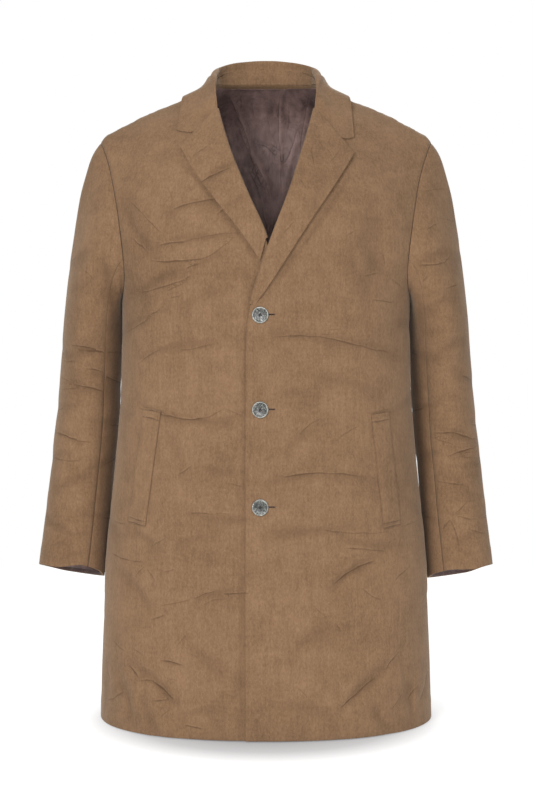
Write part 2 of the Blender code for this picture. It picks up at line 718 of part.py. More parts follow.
def make_lapel(name, panel, side, outline, bottom, notch):
    visible_rows, hidden_rows = [], []
    levels = panel.points[:, 0, 2]
    heights = [bottom] + [level for level in levels if bottom + ROW_CLEAR < level <= GORGE + ROW_CLEAR]
    for height in heights:
        share = (height - bottom) / (heights[-1] - bottom)
        radius = FOLD_RADIUS * (ROLL_CLOSED + (1.0 - ROLL_CLOSED) * smooth(share / ROLL_OPENS))
        base, way, normal = roll_frame(panel, height, side)
        visible, hidden = (list(points) for points in roll_section(base + way * SEAM, way, normal, radius))
        start = base[[0, 2]]
        end = curve(outline[:, 0], outline[:, 1:], share)
        places = [start + (end - start) * s for s in LAPEL_SHARES]
        if height == heights[-1]:
            places = gorge_places(start, notch, end, LAPEL_SHARES)
        for place, across in zip(places, LAPEL_SHARES):
            top, under = wing_point(panel, place, 2 * radius + WING_LIFT * across)
            visible.append(top)
            hidden.append(under)
        visible_rows.append(visible)
        hidden_rows.append(hidden)
    pair = part_edges((np.array(visible_rows), np.array(hidden_rows)), ("top",))
    cloth_wall(name, *pair, wool)


def neck_seam(front, back, side):
    """The neck seam's points on one side, from the centre back to the gorge, and their shares."""
    centre = back.points.shape[1] // 2
    behind = [back.points[-1, centre + side * k] for k in range(NECK_COLUMNS + 1)]
    before = [front.points[-1 - k, 0] for k in range(1, len(NECK_ROWS) + 1)]
    shares = [SIDE_NECK * k / NECK_COLUMNS for k in range(NECK_COLUMNS + 1)]
    shares += [SIDE_NECK + (1 - SIDE_NECK) * k / len(NECK_ROWS) for k in range(1, len(NECK_ROWS) + 1)]
    return np.array(shares), np.array(behind + before)


def rested(points, panels, rest):
    """Points moved out to lie at least this far off the body's panels."""
    spots = np.concatenate([panel.points.reshape(-1, 3) for panel in panels])
    normals = np.concatenate([panel.normals.reshape(-1, 3) for panel in panels])
    moved = []
    for point in points:
        away = point - spots
        weights = np.exp(-(away**2).sum(axis=1) / (2 * REST_REACH**2))
        weights /= weights.sum()
        gap = float(weights @ (away * normals).sum(axis=1))
        moved.append(point + unit(weights @ normals) * max(rest - gap, 0.0))
    return np.array(moved)


def collar_half(front, back, side, notch, corner):
    """Visible and hidden points of half the collar and its stand, from the centre back to the gorge."""
    seam_shares, seam = neck_seam(front, back, side)

    def on_seam(share):
        return np.array([np.interp(share, seam_shares, seam[:, axis]) for axis in range(3)])
    mirror = np.array([side, 1, 1])
    panels = (front, back)
    base, gorge_way, gorge_normal = roll_frame(front, GORGE, side)
    reach = FOLD_RADIUS + CLOTH
    gorge_ridge = base + gorge_way * (SEAM + reach) + gorge_normal * FOLD_RADIUS
    frames = []
    for share, x, y, z, edge_x, edge_y, stand in COLLAR:
        ridge = np.array([x, y, z]) * mirror
        foot = on_seam(share)
        along = unit(on_seam(share + SEAM_STEP) - on_seam(share - SEAM_STEP))
        way = unit(ridge - foot - along * ((ridge - foot) @ along))
        outward = unit(np.array([foot[0], foot[1], 0.0]))
        normal = unit(outward - way * (outward @ way))
        frames.append([share, *ridge, *way, *normal, side * edge_x, edge_y, stand])
    corner_point, _ = front.at(*corner)
    frames.append([1.0, *gorge_ridge, *gorge_way, *gorge_normal, corner_point[0], corner_point[1], 0.0])
    frames = np.array(frames)
    collar_rows, stand_rows = [], []
    stations = np.sort(np.concatenate([seam_shares, (seam_shares[1:] + seam_shares[:-1]) / 2]))
    for share in stations:
        frame = curve(frames[:, 0], frames[:, 1:], share)
        ridge, way, normal = frame[0:3], unit(frame[3:6]), frame[6:9]
        normal = unit(normal - way * (normal @ way))
        stand = max(frame[11], STAND_LEAST)
        foot = on_seam(share)
        start = ridge - way * reach - normal * FOLD_RADIUS
        start += way * max(ROLL_CLEAR - (start - foot) @ way, 0.0)
        start += normal * max(SEAM - (start - foot) @ normal, 0.0)
        visible, hidden = roll_section(start, way, normal, FOLD_RADIUS)
        has_stand = share <= STAND_END
        band = max((start - foot) @ way - SEAM * (2 if has_stand else 1) - (stand if has_stand else 0.0), 0.0)
        visible[0] -= way * band
        hidden[0] -= way * band
        if has_stand:
            low = foot + way * SEAM
            high = hidden[0] - way * SEAM
            up = np.linspace(0.0, 1.0, 3)[:, None]
            outer = low + (high - low) * up
            stand_rows.append((outer, outer - normal * CLOTH))
        if share == stations[-1]:
            under = []
            for place, across in zip(gorge_places(base[[0, 2]], notch, corner, FALL_SHARES), FALL_SHARES):
                under.append(wing_point(front, place, 2 * FOLD_RADIUS + WING_LIFT * across)[1])
            under = np.array(under)
        else:
            end_height = height_at(frame[9], frame[10])
            end = np.array([frame[9], frame[10], end_height])
            end = rested([end], panels, COLLAR_REST)[0]
            length = np.linalg.norm(end - hidden[-1])
            bend = hidden[-1] + (normal * FALL_SWELL * smooth(share / 0.4) - way * FALL_BEND) * length
            t = np.array(FALL_SHARES)[:, None]
            under = (1 - t) ** 2 * hidden[-1] + 2 * t * (1 - t) * bend + t**2 * end
            under = rested(under, panels, COLLAR_REST)
        collar_rows.append((visible, hidden, under[1:]))
    return collar_rows, stand_rows


def make_collar(left, right, back):
    left_half = collar_half(left, back, 1, LEFT_NOTCH, LEFT_CORNER)
    right_half = collar_half(right, back, -1, RIGHT_NOTCH, RIGHT_CORNER)
    stations = right_half[0][:0:-1] + left_half[0]
    hidden = np.array([np.concatenate([row[1], row[2]]) for row in stations])
    along = np.gradient(hidden, axis=0)
    across = np.gradient(hidden, axis=1)
    normals = unit(np.cross(across, along))
    visible = hidden + normals * CLOTH
    fold = stations[0][0].shape[0]
    visible[:, :fold] = [row[0] for row in stations]
    pair = part_edges((visible, hidden), ("bottom", "top"))
    cloth_wall("collar", *pair, wool)
    stands = right_half[1][:0:-1] + left_half[1]
    outer, inner = (np.array([row[k] for row in stands]) for k in (0, 1))
    cloth_wall("collar_stand", outer, inner, wool)


# ---------------------------------------------------------------- pockets and buttons
def make_welt(name, panel, across, height, slant):
    turn = math.radians(slant)
    down, over = np.array([math.sin(turn), -math.cos(turn)]), np.array([math.cos(turn), math.sin(turn)])
    rows, columns = WELT_GRID
    outer, inner = [], []
    for along in np.linspace(-0.5, 0.5, rows + 1) * WELT_LENGTH:
        places = [np.array([across, height]) + down * along + over * side
                  for side in np.linspace(-0.5, 0.5, columns + 1) * WELT_WIDTH]
        spots = [panel.at(*place) for place in places]
        inner.append([point + normal * WELT_GAP for point, normal in spots])
        outer.append([point + normal * (WELT_GAP + WELT_THICKNESS) for point, normal in spots])
    cloth_wall(name, np.array(outer), np.array(inner), wool)


def turned(name, profile, sides, surface):
    """A turned shape from its profile: radius and height from the top's middle round to the bottom's."""
    mesh = bpy.data.meshes.new(name)
    mesh.from_pydata([(radius, 0.0, height) for radius, height in profile],
                     [(k, k + 1) for k in range(len(profile) - 1)], [])
    made = bpy.data.objects.new(name, mesh)
    coat.objects.link(made)
    screw = made.modifiers.new("turn", "SCREW")
    screw.steps = screw.render_steps = sides
    screw.use_merge_vertices = True
    screw.merge_threshold = 0.00005
    mesh.materials.append(surface)
    return made


def make_buttons(panel):
    """Dished buttons with a raised rim and four holes, on the left front."""
    inside = BUTTON_RADIUS - BUTTON_RIM
    floor = BUTTON_THICKNESS - BUTTON_DISH
    profile = (
        (0.0, floor),
        (inside - BUTTON_EASE, floor),
        (inside + BUTTON_EASE, BUTTON_THICKNESS),
        (BUTTON_RADIUS - BUTTON_EASE, BUTTON_THICKNESS),
        (BUTTON_RADIUS, BUTTON_THICKNESS - BUTTON_EASE),
        (BUTTON_RADIUS - BUTTON_EASE, 0.0),
        (0.0, 0.0),
    )
    for number, height in enumerate(BUTTON_HEIGHTS, 1):
        button = turned(f"button_{number}", profile, BUTTON_SIDES, horn)
        point, normal = panel.at(BUTTON_ACROSS, height)
        direction = mathutils.Vector(normal)
        button.location = point + normal * BUTTON_GAP
        button.rotation_euler = direction.to_track_quat("Z", "Y").to_euler()
        for hole in range(4):
            turn = math.radians(45.0 + 90.0 * hole)
            place = mathutils.Vector((math.cos(turn), math.sin(turn), 0.0)) * BUTTON_HOLE_OFFSET
            cutter = hole_cutter(f"button_{number}_hole_{hole + 1}", place, button)
            cut = button.modifiers.new(f"hole {hole + 1}", "BOOLEAN")
            cut.object = cutter


def hole_cutter(name, place, button):
    bpy.ops.mesh.primitive_cylinder_add(
        vertices=BUTTON_HOLE_SIDES, radius=BUTTON_HOLE_RADIUS, depth=4 * BUTTON_THICKNESS, location=place
    )
    cutter = bpy.context.object
    cutter.name = name
    cutter.parent = button
    cutter.hide_render = True
    cutter.display_type = "WIRE"
    for collection in list(cutter.users_collection):
        collection.objects.unlink(cutter)
    cutters.objects.link(cutter)
    return cutter


def main():
    left, right, back = make_body()
    make_sleeve(left, back, 1, "left")
    make_sleeve(right, back, -1, "right")
    make_lapel("lapel_left", left, 1, LEFT_LAPEL, LEFT_LAPEL_BOTTOM, LEFT_NOTCH)
    make_lapel("lapel_right", right, -1, RIGHT_LAPEL, RIGHT_LAPEL_BOTTOM, RIGHT_NOTCH)
    make_collar(left, right, back)
    for name, (across, height, slant) in WELTS.items():
        make_welt(name, left if across > 0 else right, across, height, slant)
    make_buttons(left)


for leftover in list(bpy.data.objects):
    bpy.data.objects.remove(leftover, do_unlink=True)
coat = bpy.data.collections.new("overcoat")
bpy.context.scene.collection.children.link(coat)
cutters = bpy.data.collections.new("cutters")
bpy.context.scene.collection.children.link(cutters)
wool = material("wool", (0.30, 0.19, 0.11), 0.92)
satin = material("satin", (0.06, 0.04, 0.045), 0.35)
horn = material("horn", (0.42, 0.42, 0.40), 0.25)
main()
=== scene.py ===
# %% [markdown]
# # An overcoat in napped wool
# The frame holds each cut piece of the coat as a plain closed wall, in its real size and place. This
# lesson dresses those walls: it sews the outer sides into one smooth shell, presses the creases in,
# gives every piece its thickness again, and then adds stitching, buttonholes, thread and finishes.
# Lengths are in metres, the front faces -Y, and the wearer's left is +X.

# %% The frame and its size
import json
import math
from contextlib import contextmanager

import bmesh
import bpy
import numpy as np
from mathutils import Matrix, Vector, bvhtree, geometry, kdtree, noise

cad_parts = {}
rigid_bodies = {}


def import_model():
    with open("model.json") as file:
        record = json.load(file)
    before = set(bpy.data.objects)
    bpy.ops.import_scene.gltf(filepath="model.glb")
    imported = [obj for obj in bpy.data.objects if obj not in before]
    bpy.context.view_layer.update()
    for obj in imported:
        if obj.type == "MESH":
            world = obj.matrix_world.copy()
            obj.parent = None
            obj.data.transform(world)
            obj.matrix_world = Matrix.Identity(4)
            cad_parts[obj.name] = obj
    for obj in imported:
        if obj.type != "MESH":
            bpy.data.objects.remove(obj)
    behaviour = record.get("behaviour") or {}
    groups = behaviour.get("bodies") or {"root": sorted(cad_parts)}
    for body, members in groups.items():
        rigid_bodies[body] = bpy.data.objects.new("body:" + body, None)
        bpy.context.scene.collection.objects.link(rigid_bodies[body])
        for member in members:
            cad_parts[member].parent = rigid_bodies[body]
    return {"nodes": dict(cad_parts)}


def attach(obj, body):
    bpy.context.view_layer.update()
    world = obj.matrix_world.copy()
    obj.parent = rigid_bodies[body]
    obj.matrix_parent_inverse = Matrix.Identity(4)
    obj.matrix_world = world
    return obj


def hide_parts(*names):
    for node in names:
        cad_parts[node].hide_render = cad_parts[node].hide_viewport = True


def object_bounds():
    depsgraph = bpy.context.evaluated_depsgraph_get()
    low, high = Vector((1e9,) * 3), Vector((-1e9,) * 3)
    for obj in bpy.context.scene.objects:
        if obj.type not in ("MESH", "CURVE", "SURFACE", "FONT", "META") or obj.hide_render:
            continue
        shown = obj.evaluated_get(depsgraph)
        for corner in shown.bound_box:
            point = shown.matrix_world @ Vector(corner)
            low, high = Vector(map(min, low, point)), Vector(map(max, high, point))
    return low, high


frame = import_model()
nodes = frame["nodes"]
cad_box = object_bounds()
print("the frame reaches from", cad_box[0], "to", cad_box[1])

# %% [markdown]
# ## The camera
# The photograph looks level at the coat from about two and a half metres. A level camera keeps upright
# lines upright, and a small lens shift puts the coat in the middle of the tall picture, as a studio
# camera's rising front does. The camera comes first, because everything that follows is judged by it.

# %% Camera
PICTURE = (533, 800)
LOOKED_AT = (266.0, 270.0)  # the spot of the picture that the level camera looks straight at
METRES_A_PIXEL = 0.001466  # at the plane through the shoulders
DISTANCE = 2.45
CAMERA_HEIGHT = -0.273

lens = bpy.data.cameras.new("camera")
lens.sensor_fit = "HORIZONTAL"
lens.angle = 2 * math.atan(PICTURE[0] * METRES_A_PIXEL / 2 / DISTANCE)
lens.shift_x = (PICTURE[0] / 2 - LOOKED_AT[0]) / PICTURE[0]
lens.shift_y = (LOOKED_AT[1] - PICTURE[1] / 2) / PICTURE[0]
camera = bpy.data.objects.new("camera", lens)
camera.location = (0.0, -DISTANCE, CAMERA_HEIGHT)
camera.rotation_euler = (math.radians(90), 0.0, 0.0)
bpy.context.scene.collection.objects.link(camera)
bpy.context.scene.camera = camera
bpy.context.scene.view_settings.view_transform = "Standard"
print("the camera's angle is", round(math.degrees(lens.angle), 1), "degrees")

# %% [markdown]
# ## Opening a piece
# Blender's operators act on whatever is selected, so each step first selects its own piece and nothing
# else. Where faces are sorted by how they lie, the mesh is opened in code instead, and closed again.

# %% Helpers for selecting and opening
def only(thing):
    """Makes one object the only selected one."""
    bpy.ops.object.select_all(action="DESELECT")
    thing.select_set(True)
    bpy.context.view_layer.objects.active = thing


def edit_all(piece, *steps):
    """Runs operators, each with its settings, one after another on the whole of a piece, in edit mode."""
    only(piece)
    bpy.ops.object.mode_set(mode="EDIT")
    bpy.ops.mesh.select_all(action="SELECT")
    for operator, settings in steps:
        operator(**settings)
    bpy.ops.object.mode_set(mode="OBJECT")


def pick(piece, kind, wanted):
    """Opens a piece in edit mode, with only the wanted faces or edges selected."""
    only(piece)
    bpy.ops.object.mode_set(mode="EDIT")
    bpy.ops.mesh.select_all(action="DESELECT")
    bm = bmesh.from_edit_mesh(piece.data)
    for element in getattr(bm, kind):
        element.select_set(wanted(element))
    bmesh.update_edit_mesh(piece.data)


@contextmanager
def opened(piece, change=False):
    """A piece's mesh as corners, edges and faces. Changes are kept where they are asked for."""
    bm = bmesh.new()
    bm.from_mesh(piece.data)
    yield bm
    if change:
        bm.to_mesh(piece.data)
    bm.free()


print("the frame has", len(nodes), "nodes to dress")

# %% [markdown]
# ## Taking the shown side of a wall
# Each cloth piece in the frame is a closed wall of loose triangles. To make finer cloth from it, a copy
# is merged, its triangles are paired back into four-cornered faces, and only the side that shows is
# kept. The rim between the two sides turns sharply, so faces are gathered across blunt edges only, and
# the gathered side that faces the wanted way stays.

# %% Copy a wall and keep one side
MERGE = 0.00002
PAIRING = {  # how unlike two triangles may be and still make one face
    "face_threshold": math.radians(60), "shape_threshold": math.radians(70), "topology_influence": 2.0,
}
ROLL_RIM = math.radians(62)  # a collar's roll has facets that turn by 45 degrees
PLAIN_RIM = math.radians(40)


def whole_wall(node, name):
    """A copy of a node's wall, as four-cornered faces."""
    piece = bpy.data.objects.new(name, nodes[node].data.copy())
    bpy.context.scene.collection.objects.link(piece)
    merge = (bpy.ops.mesh.remove_doubles, {"threshold": MERGE})
    edit_all(piece, merge, (bpy.ops.mesh.tris_convert_to_quads, PAIRING))
    piece.data.materials.clear()
    return piece


def gather(first, rim_angle):
    """The faces that are reached from one face without crossing a sharp edge."""
    found, waiting = {first}, [first]
    while waiting:
        for edge in waiting.pop().edges:
            if len(edge.link_faces) == 2 and edge.calc_face_angle() < rim_angle:
                fresh = [face for face in edge.link_faces if face not in found]
                found.update(fresh)
                waiting.extend(fresh)
    return found


def shown_side(node, towards, name, rim_angle=PLAIN_RIM):
    """One side of a node's wall, as a sheet."""
    piece = whole_wall(node, name)

    def facing(side):
        return sum((face.normal * face.calc_area() for face in side), Vector()).dot(Vector(towards))

    with opened(piece, change=True) as bm:
        left, sides = set(bm.faces), []
        while left:
            side = gather(next(iter(left)), rim_angle)
            left -= side
            sides.append(side)
        areas = [sum(face.calc_area() for face in side) for side in sides]
        keep = max((side for side, area in zip(sides, areas) if area > max(areas) / 2), key=facing)
        bmesh.ops.delete(bm, geom=[face for face in bm.faces if face not in keep], context="FACES")
        triangles = sum(1 for face in bm.faces if len(face.verts) == 3)
    print(name, "has", len(piece.data.polygons), "faces on its shown side,", triangles, "of them triangles")
    return piece


# %% [markdown]
# ## Sewing the shell
# Two pieces that are smoothed one by one drift apart at their seam. A tailor sews first and presses
# afterwards, and so does this: the outer sides of the fronts, the back and the sleeves are joined into
# one garment, and each piece wears a plain tag in place of its finish, to tell it by. The two sides of
# every seam then get the same points and are merged.

# %% Lay the cut pieces together
SHELL = {  # piece: the way that its shown side faces
    "front_left": (0, -1, 0), "front_right": (0, -1, 0), "back": (0, 1, 0),
    "top_sleeve_left": (1, 0, 0), "top_sleeve_right": (-1, 0, 0),
    "under_sleeve_left": (-1, 0, 0), "under_sleeve_right": (1, 0, 0),
}
cut_pieces = []
for node, towards in SHELL.items():
    piece = shown_side(node, towards, node + "_cut")
    piece.data.materials.append(bpy.data.materials.new(node))
    cut_pieces.append(piece)
only(cut_pieces[0])
for piece in cut_pieces[1:]:
    piece.select_set(True)
bpy.ops.object.join()
shell = bpy.context.object
print(len(cut_pieces), "cut pieces lie together, with", len(shell.data.polygons), "faces")

# %% Sew the seams
SEAM_REACH = 0.0006
SEAM_FIRM = 1.0  # holds the shoulder and side seams straight while the cloth is subdivided


def match_borders(piece, reach):
    """Gives two borders that run along one line the same points, so that they can be merged."""
    added = 0
    with opened(piece, change=True) as bm:
        borders = [edge for edge in bm.edges if edge.is_boundary]
        for spot in [corner.co.copy() for corner in bm.verts if corner.is_boundary]:
            for edge in list(borders):
                start, end = edge.verts[0].co, edge.verts[1].co
                foot, share = geometry.intersect_point_line(spot, start, end)
                ends_off = min((foot - start).length, (foot - end).length)
                if 0.0 < share < 1.0 and ends_off > reach and (foot - spot).length < reach:
                    rest, corner = bmesh.utils.edge_split(edge, edge.verts[0], share)
                    corner.co = spot
                    borders.append(rest)
                    added += 1
    print(added, "points are added along the seams")


match_borders(shell, SEAM_REACH)
edit_all(shell, (bpy.ops.mesh.remove_doubles, {"threshold": SEAM_REACH}))
body_numbers = {k for k, slot in enumerate(shell.data.materials) if "sleeve" not in slot.name}
with opened(shell, change=True) as bm:
    firm = bm.edges.layers.float.new("crease_edge")
    for edge in bm.edges:
        sides = {face.material_index for face in edge.link_faces}
        if len(sides) == 2 and sides <= body_numbers:
            edge[firm] = SEAM_FIRM

# %% [markdown]
# ## Smoothing cloth
# The whole shell is subdivided at once, so that the cloth flows through each seam. Rounding draws a form
# inwards, most of all at the shoulders, so the loss is measured, evened out and given back.

# %% Subdivide and swell
EVENING_ROUNDS = 40
SHELL_LEVELS = 3


def tree_of(piece):
    """A search tree over a piece's faces."""
    return bvhtree.BVHTree.FromObject(piece, bpy.context.evaluated_depsgraph_get())


def points_of(piece):
    """A piece's points and the way each faces."""
    count = len(piece.data.vertices)
    points, ways = np.zeros(count * 3), np.zeros(count * 3)
    piece.data.vertices.foreach_get("co", points)
    piece.data.vertex_normals.foreach_get("vector", ways)
    return points.reshape(-1, 3), ways.reshape(-1, 3)


def move(piece, points):
    """Puts a piece's points in new places."""
    piece.data.vertices.foreach_set("co", points.ravel())
    piece.data.update()


def even_out(piece, values, rounds):
    """Spreads one number a point over its neighbours, again and again."""
    ends = np.zeros(len(piece.data.edges) * 2, int)
    piece.data.edges.foreach_get("vertices", ends)
    one, other = ends[::2], ends[1::2]
    count = np.bincount(ends, minlength=len(values))
    for _ in range(rounds):
        total = np.bincount(one, values[other], len(values)) + np.bincount(other, values[one], len(values))
        values = (values + total / count) / 2
    return values


def refine(piece, levels):
    """Subdivides a sheet smoothly, with its corners kept, and swells it back to the form that it had."""
    form = tree_of(piece)
    only(piece)
    finer = piece.modifiers.new("finer", "SUBSURF")
    finer.levels = finer.render_levels = levels
    finer.boundary_smooth = "PRESERVE_CORNERS"
    bpy.ops.object.modifier_apply(modifier=finer.name)
    points, ways = points_of(piece)
    shrunk = np.array([form.find_nearest(spot)[0] for spot in points]) - points
    swell = even_out(piece, (shrunk * ways).sum(axis=1), EVENING_ROUNDS)
    move(piece, points + ways * swell[:, None])
    print(piece.name, "swells by up to", round(swell.max() * 1000, 1), "mm")


refine(shell, SHELL_LEVELS)
print("the sewn shell has", len(shell.data.vertices), "points")

# %% [markdown]
# ## Reading places off the photograph
# Creases are best placed where the photograph shows them. A ray runs from the camera through a spot of
# the picture, given in its pixels from the upper left corner, and the first cloth that it meets is the
# place. What is put there stays there from every side.

# %% From the picture to the cloth
def seen_at(tree, across, down):
    """The point of a piece under a spot of the picture."""
    run = ((across - LOOKED_AT[0]) * METRES_A_PIXEL, DISTANCE, (LOOKED_AT[1] - down) * METRES_A_PIXEL)
    return tree.ray_cast(camera.location, Vector(run))[0]


def placed(rows, tree):
    """Creases whose ends are spots of the picture, as rows of the front view in metres."""
    found = []
    for across_1, down_1, across_2, down_2, bow, *form in rows:
        start, end = seen_at(tree, across_1, down_1), seen_at(tree, across_2, down_2)
        if start and end:
            found.append(("front", start.x, start.z, end.x, end.z, bow * METRES_A_PIXEL, *form))
    return found


shell_tree = tree_of(shell)
print("the camera looks straight at the cloth's point", seen_at(shell_tree, *LOOKED_AT))

# %% [markdown]
# ## Pressing creases in
# A coat that has been folded and worn keeps soft creases. Each one here is a row of a table: where it
# starts and ends as seen from one side, how far it bows, how wide and how deep it is. Along its length
# it swells and fades, and beside each trough stands a low ridge, because cloth that sinks in one place
# rises next to it. A small share of every crease is kept as painted shade too: its trough is painted
# darker and the ridge beside it lighter.

# %% How much of a crease each point feels
VIEWS = {  # view: its right, its up and the way the cloth must face
    "front": ((1, 0, 0), (0, 0, 1), (0, -1, 0)),
    "back": ((1, 0, 0), (0, 0, 1), (0, 1, 0)),
    "left": ((0, 1, 0), (0, 0, 1), (1, 0, 0)),
    "right": ((0, 1, 0), (0, 0, 1), (-1, 0, 0)),
}
LINE_ARCH = (0.4, 0.1, 0.8)  # the least strength along a line, and the part of an arch that it follows
TURNED_AWAY = (0.05, 0.4)  # how far cloth may turn from a view and still feel its lines, and how soon


def soft(share):
    """A step from 0 to 1 with round ends."""
    share = np.clip(share, 0.0, 1.0)
    return share * share * (3.0 - 2.0 * share)


def bell(distance, reach):
    """A round bump that fades over its reach."""
    return np.exp(-(distance / reach) ** 2)


def listed(creases):
    """A table of creases by view, as one list."""
    return [(view, *row) for view, rows in creases.items() for row in rows]


def beside_line(points, ways, view, across_1, up_1, across_2, up_2, bow, end):
    """How far along and to the side of a line each point lies, and how much of the line it feels."""
    right, up, facing = (np.array(axis, float) for axis in VIEWS[view])
    run = np.array([across_2 - across_1, up_2 - up_1])
    length = np.linalg.norm(run)
    run = run / length
    offset = np.stack([points @ right - across_1, points @ up - up_1], axis=1)
    share = offset @ run / length
    inside = np.clip(share, 0.0, 1.0)
    past = (share - inside) * length / end
    beside = offset @ np.array([-run[1], run[0]]) - bow * 4 * inside * (1 - inside)
    least, arch_from, arch_span = LINE_ARCH
    arch = least + (1 - least) * np.sin(math.pi * (arch_from + arch_span * inside))
    turned = soft((ways @ facing - TURNED_AWAY[0]) / TURNED_AWAY[1])
    return share, past, beside, bell(past, 1.0) * arch * turned


print("a line is felt by", LINE_ARCH[0], "at its ends and by 1 in its middle, seen from", len(VIEWS), "sides")

# %% Press soft creases
CREASE_END = 1.5  # how far past its end a crease is felt, in its widths
WAVER = (0.3, 7.0, 90.0)  # how much its width changes, how often along it, and how unlike the next one's
RIDGE_OFF = 1.9  # how far beside the trough its ridge stands, in widths
RIDGE_WIDTH = 1.2
RIDGE_HEIGHT = 0.45
# how much painted light a crease's ridge gets, against the painted shade of its trough
RIDGE_SHADE = 0.4
FULL_SHADE = 0.0015  # the depth from which a crease is shaded in full


def press(points, ways, creases):
    """How far each point moves out from a table of creases, and its painted shade: darker in a trough,
    lighter on the ridge beside it.
    """
    out, shade = np.zeros(len(points)), np.zeros(len(points))
    for *line, width, depth in creases:
        share, _, beside, felt = beside_line(points, ways, *line, CREASE_END * width)
        local = width * (1.0 + WAVER[0] * np.sin(WAVER[1] * share + WAVER[2] * line[1]))
        trough = bell(beside, local) * felt
        ridge = bell(beside - RIDGE_OFF * local, RIDGE_WIDTH * local) * felt
        out += depth * (trough - RIDGE_HEIGHT * ridge)
        # painted shade for the finish's colour: dark in the trough and light on the ridge beside it
        shade += np.sign(-depth) * (trough - RIDGE_SHADE * ridge) * min(abs(depth) / FULL_SHADE, 1.0)
    return out, shade


def ripple(points, size, height, seed):
    """Soft waves over the cloth, about this long and this high."""
    place = points / size + seed
    return height * np.array([noise.noise(Vector(spot)) for spot in place])


print("a trough of 1 mm has ridges of up to", RIDGE_HEIGHT, "mm beside it")

# %% [markdown]
# ## Drawing fine creases
# The sharpest creases are finer than the sheet's own faces. For those each point keeps its distance
# across the nearest one, which runs evenly from face to face, and the finish paints the fine line from
# it, as painted shade in its fold and painted light beside it, with a bump. The distances are kept on the
# mesh itself, so the line stays where it is from every side.

# %% Trace fine creases and keep numbers
FINE_END = 0.0030  # how far past its end a fine crease is felt
FINE_REACH = 0.0040  # how far to its sides
FINE_WAVER = (0.3, 9.0, 70.0)
FINE_WANDER = (0.014, 0.0013, 21.0)  # length, height and seed of the waves that bend it
LEAST_FELT = 0.02
FAR = 1.0
FAR_ACROSS = 9.0  # in millimetres, as every distance that is kept for the finish


def trace(points, ways, creases):
    """Each point's distance across the nearest fine crease, in millimetres, and that crease's strength."""
    across, strength = np.full(len(points), FAR_ACROSS), np.zeros(len(points))
    nearest = np.full(len(points), FAR)
    wander = ripple(points, *FINE_WANDER)
    for *line, depth in creases:
        share, past, beside, felt = beside_line(points, ways, *line, FINE_END)
        local = 1.0 + FINE_WAVER[0] * np.sin(FINE_WAVER[1] * share + FINE_WAVER[2] * line[1])
        beside = (beside + wander) * local
        gap = np.hypot(beside, past * FINE_END)
        closer = (gap < nearest) & (felt > LEAST_FELT)
        nearest[closer] = gap[closer]
        across[closer] = beside[closer] * 1000
        strength[closer] = depth * felt[closer]
    return across, strength * (1.0 - soft((nearest - FINE_REACH) / FINE_REACH))


def mark(piece, **numbers):
    """Keeps numbers for each point, which the finish can read by their name."""
    for name, values in numbers.items():
        kept = piece.data.attributes.new(name, "FLOAT", "POINT")
        kept.data.foreach_set("value", np.asarray(values, np.float32))


print("a fine crease is felt up to", round(FINE_REACH * 2000), "mm to its sides")

# %% [markdown]
# ## The tables of creases
# The front's creases follow the photograph. Its wearer's right side is full of short drags that fan out
# from under the lapel and round the pocket, and its left side has longer, softer waves. The sides and
# the back can't be seen there, so they get drags of the same kind where a worn coat has them: from the
# armholes, across the waist and over the seat.

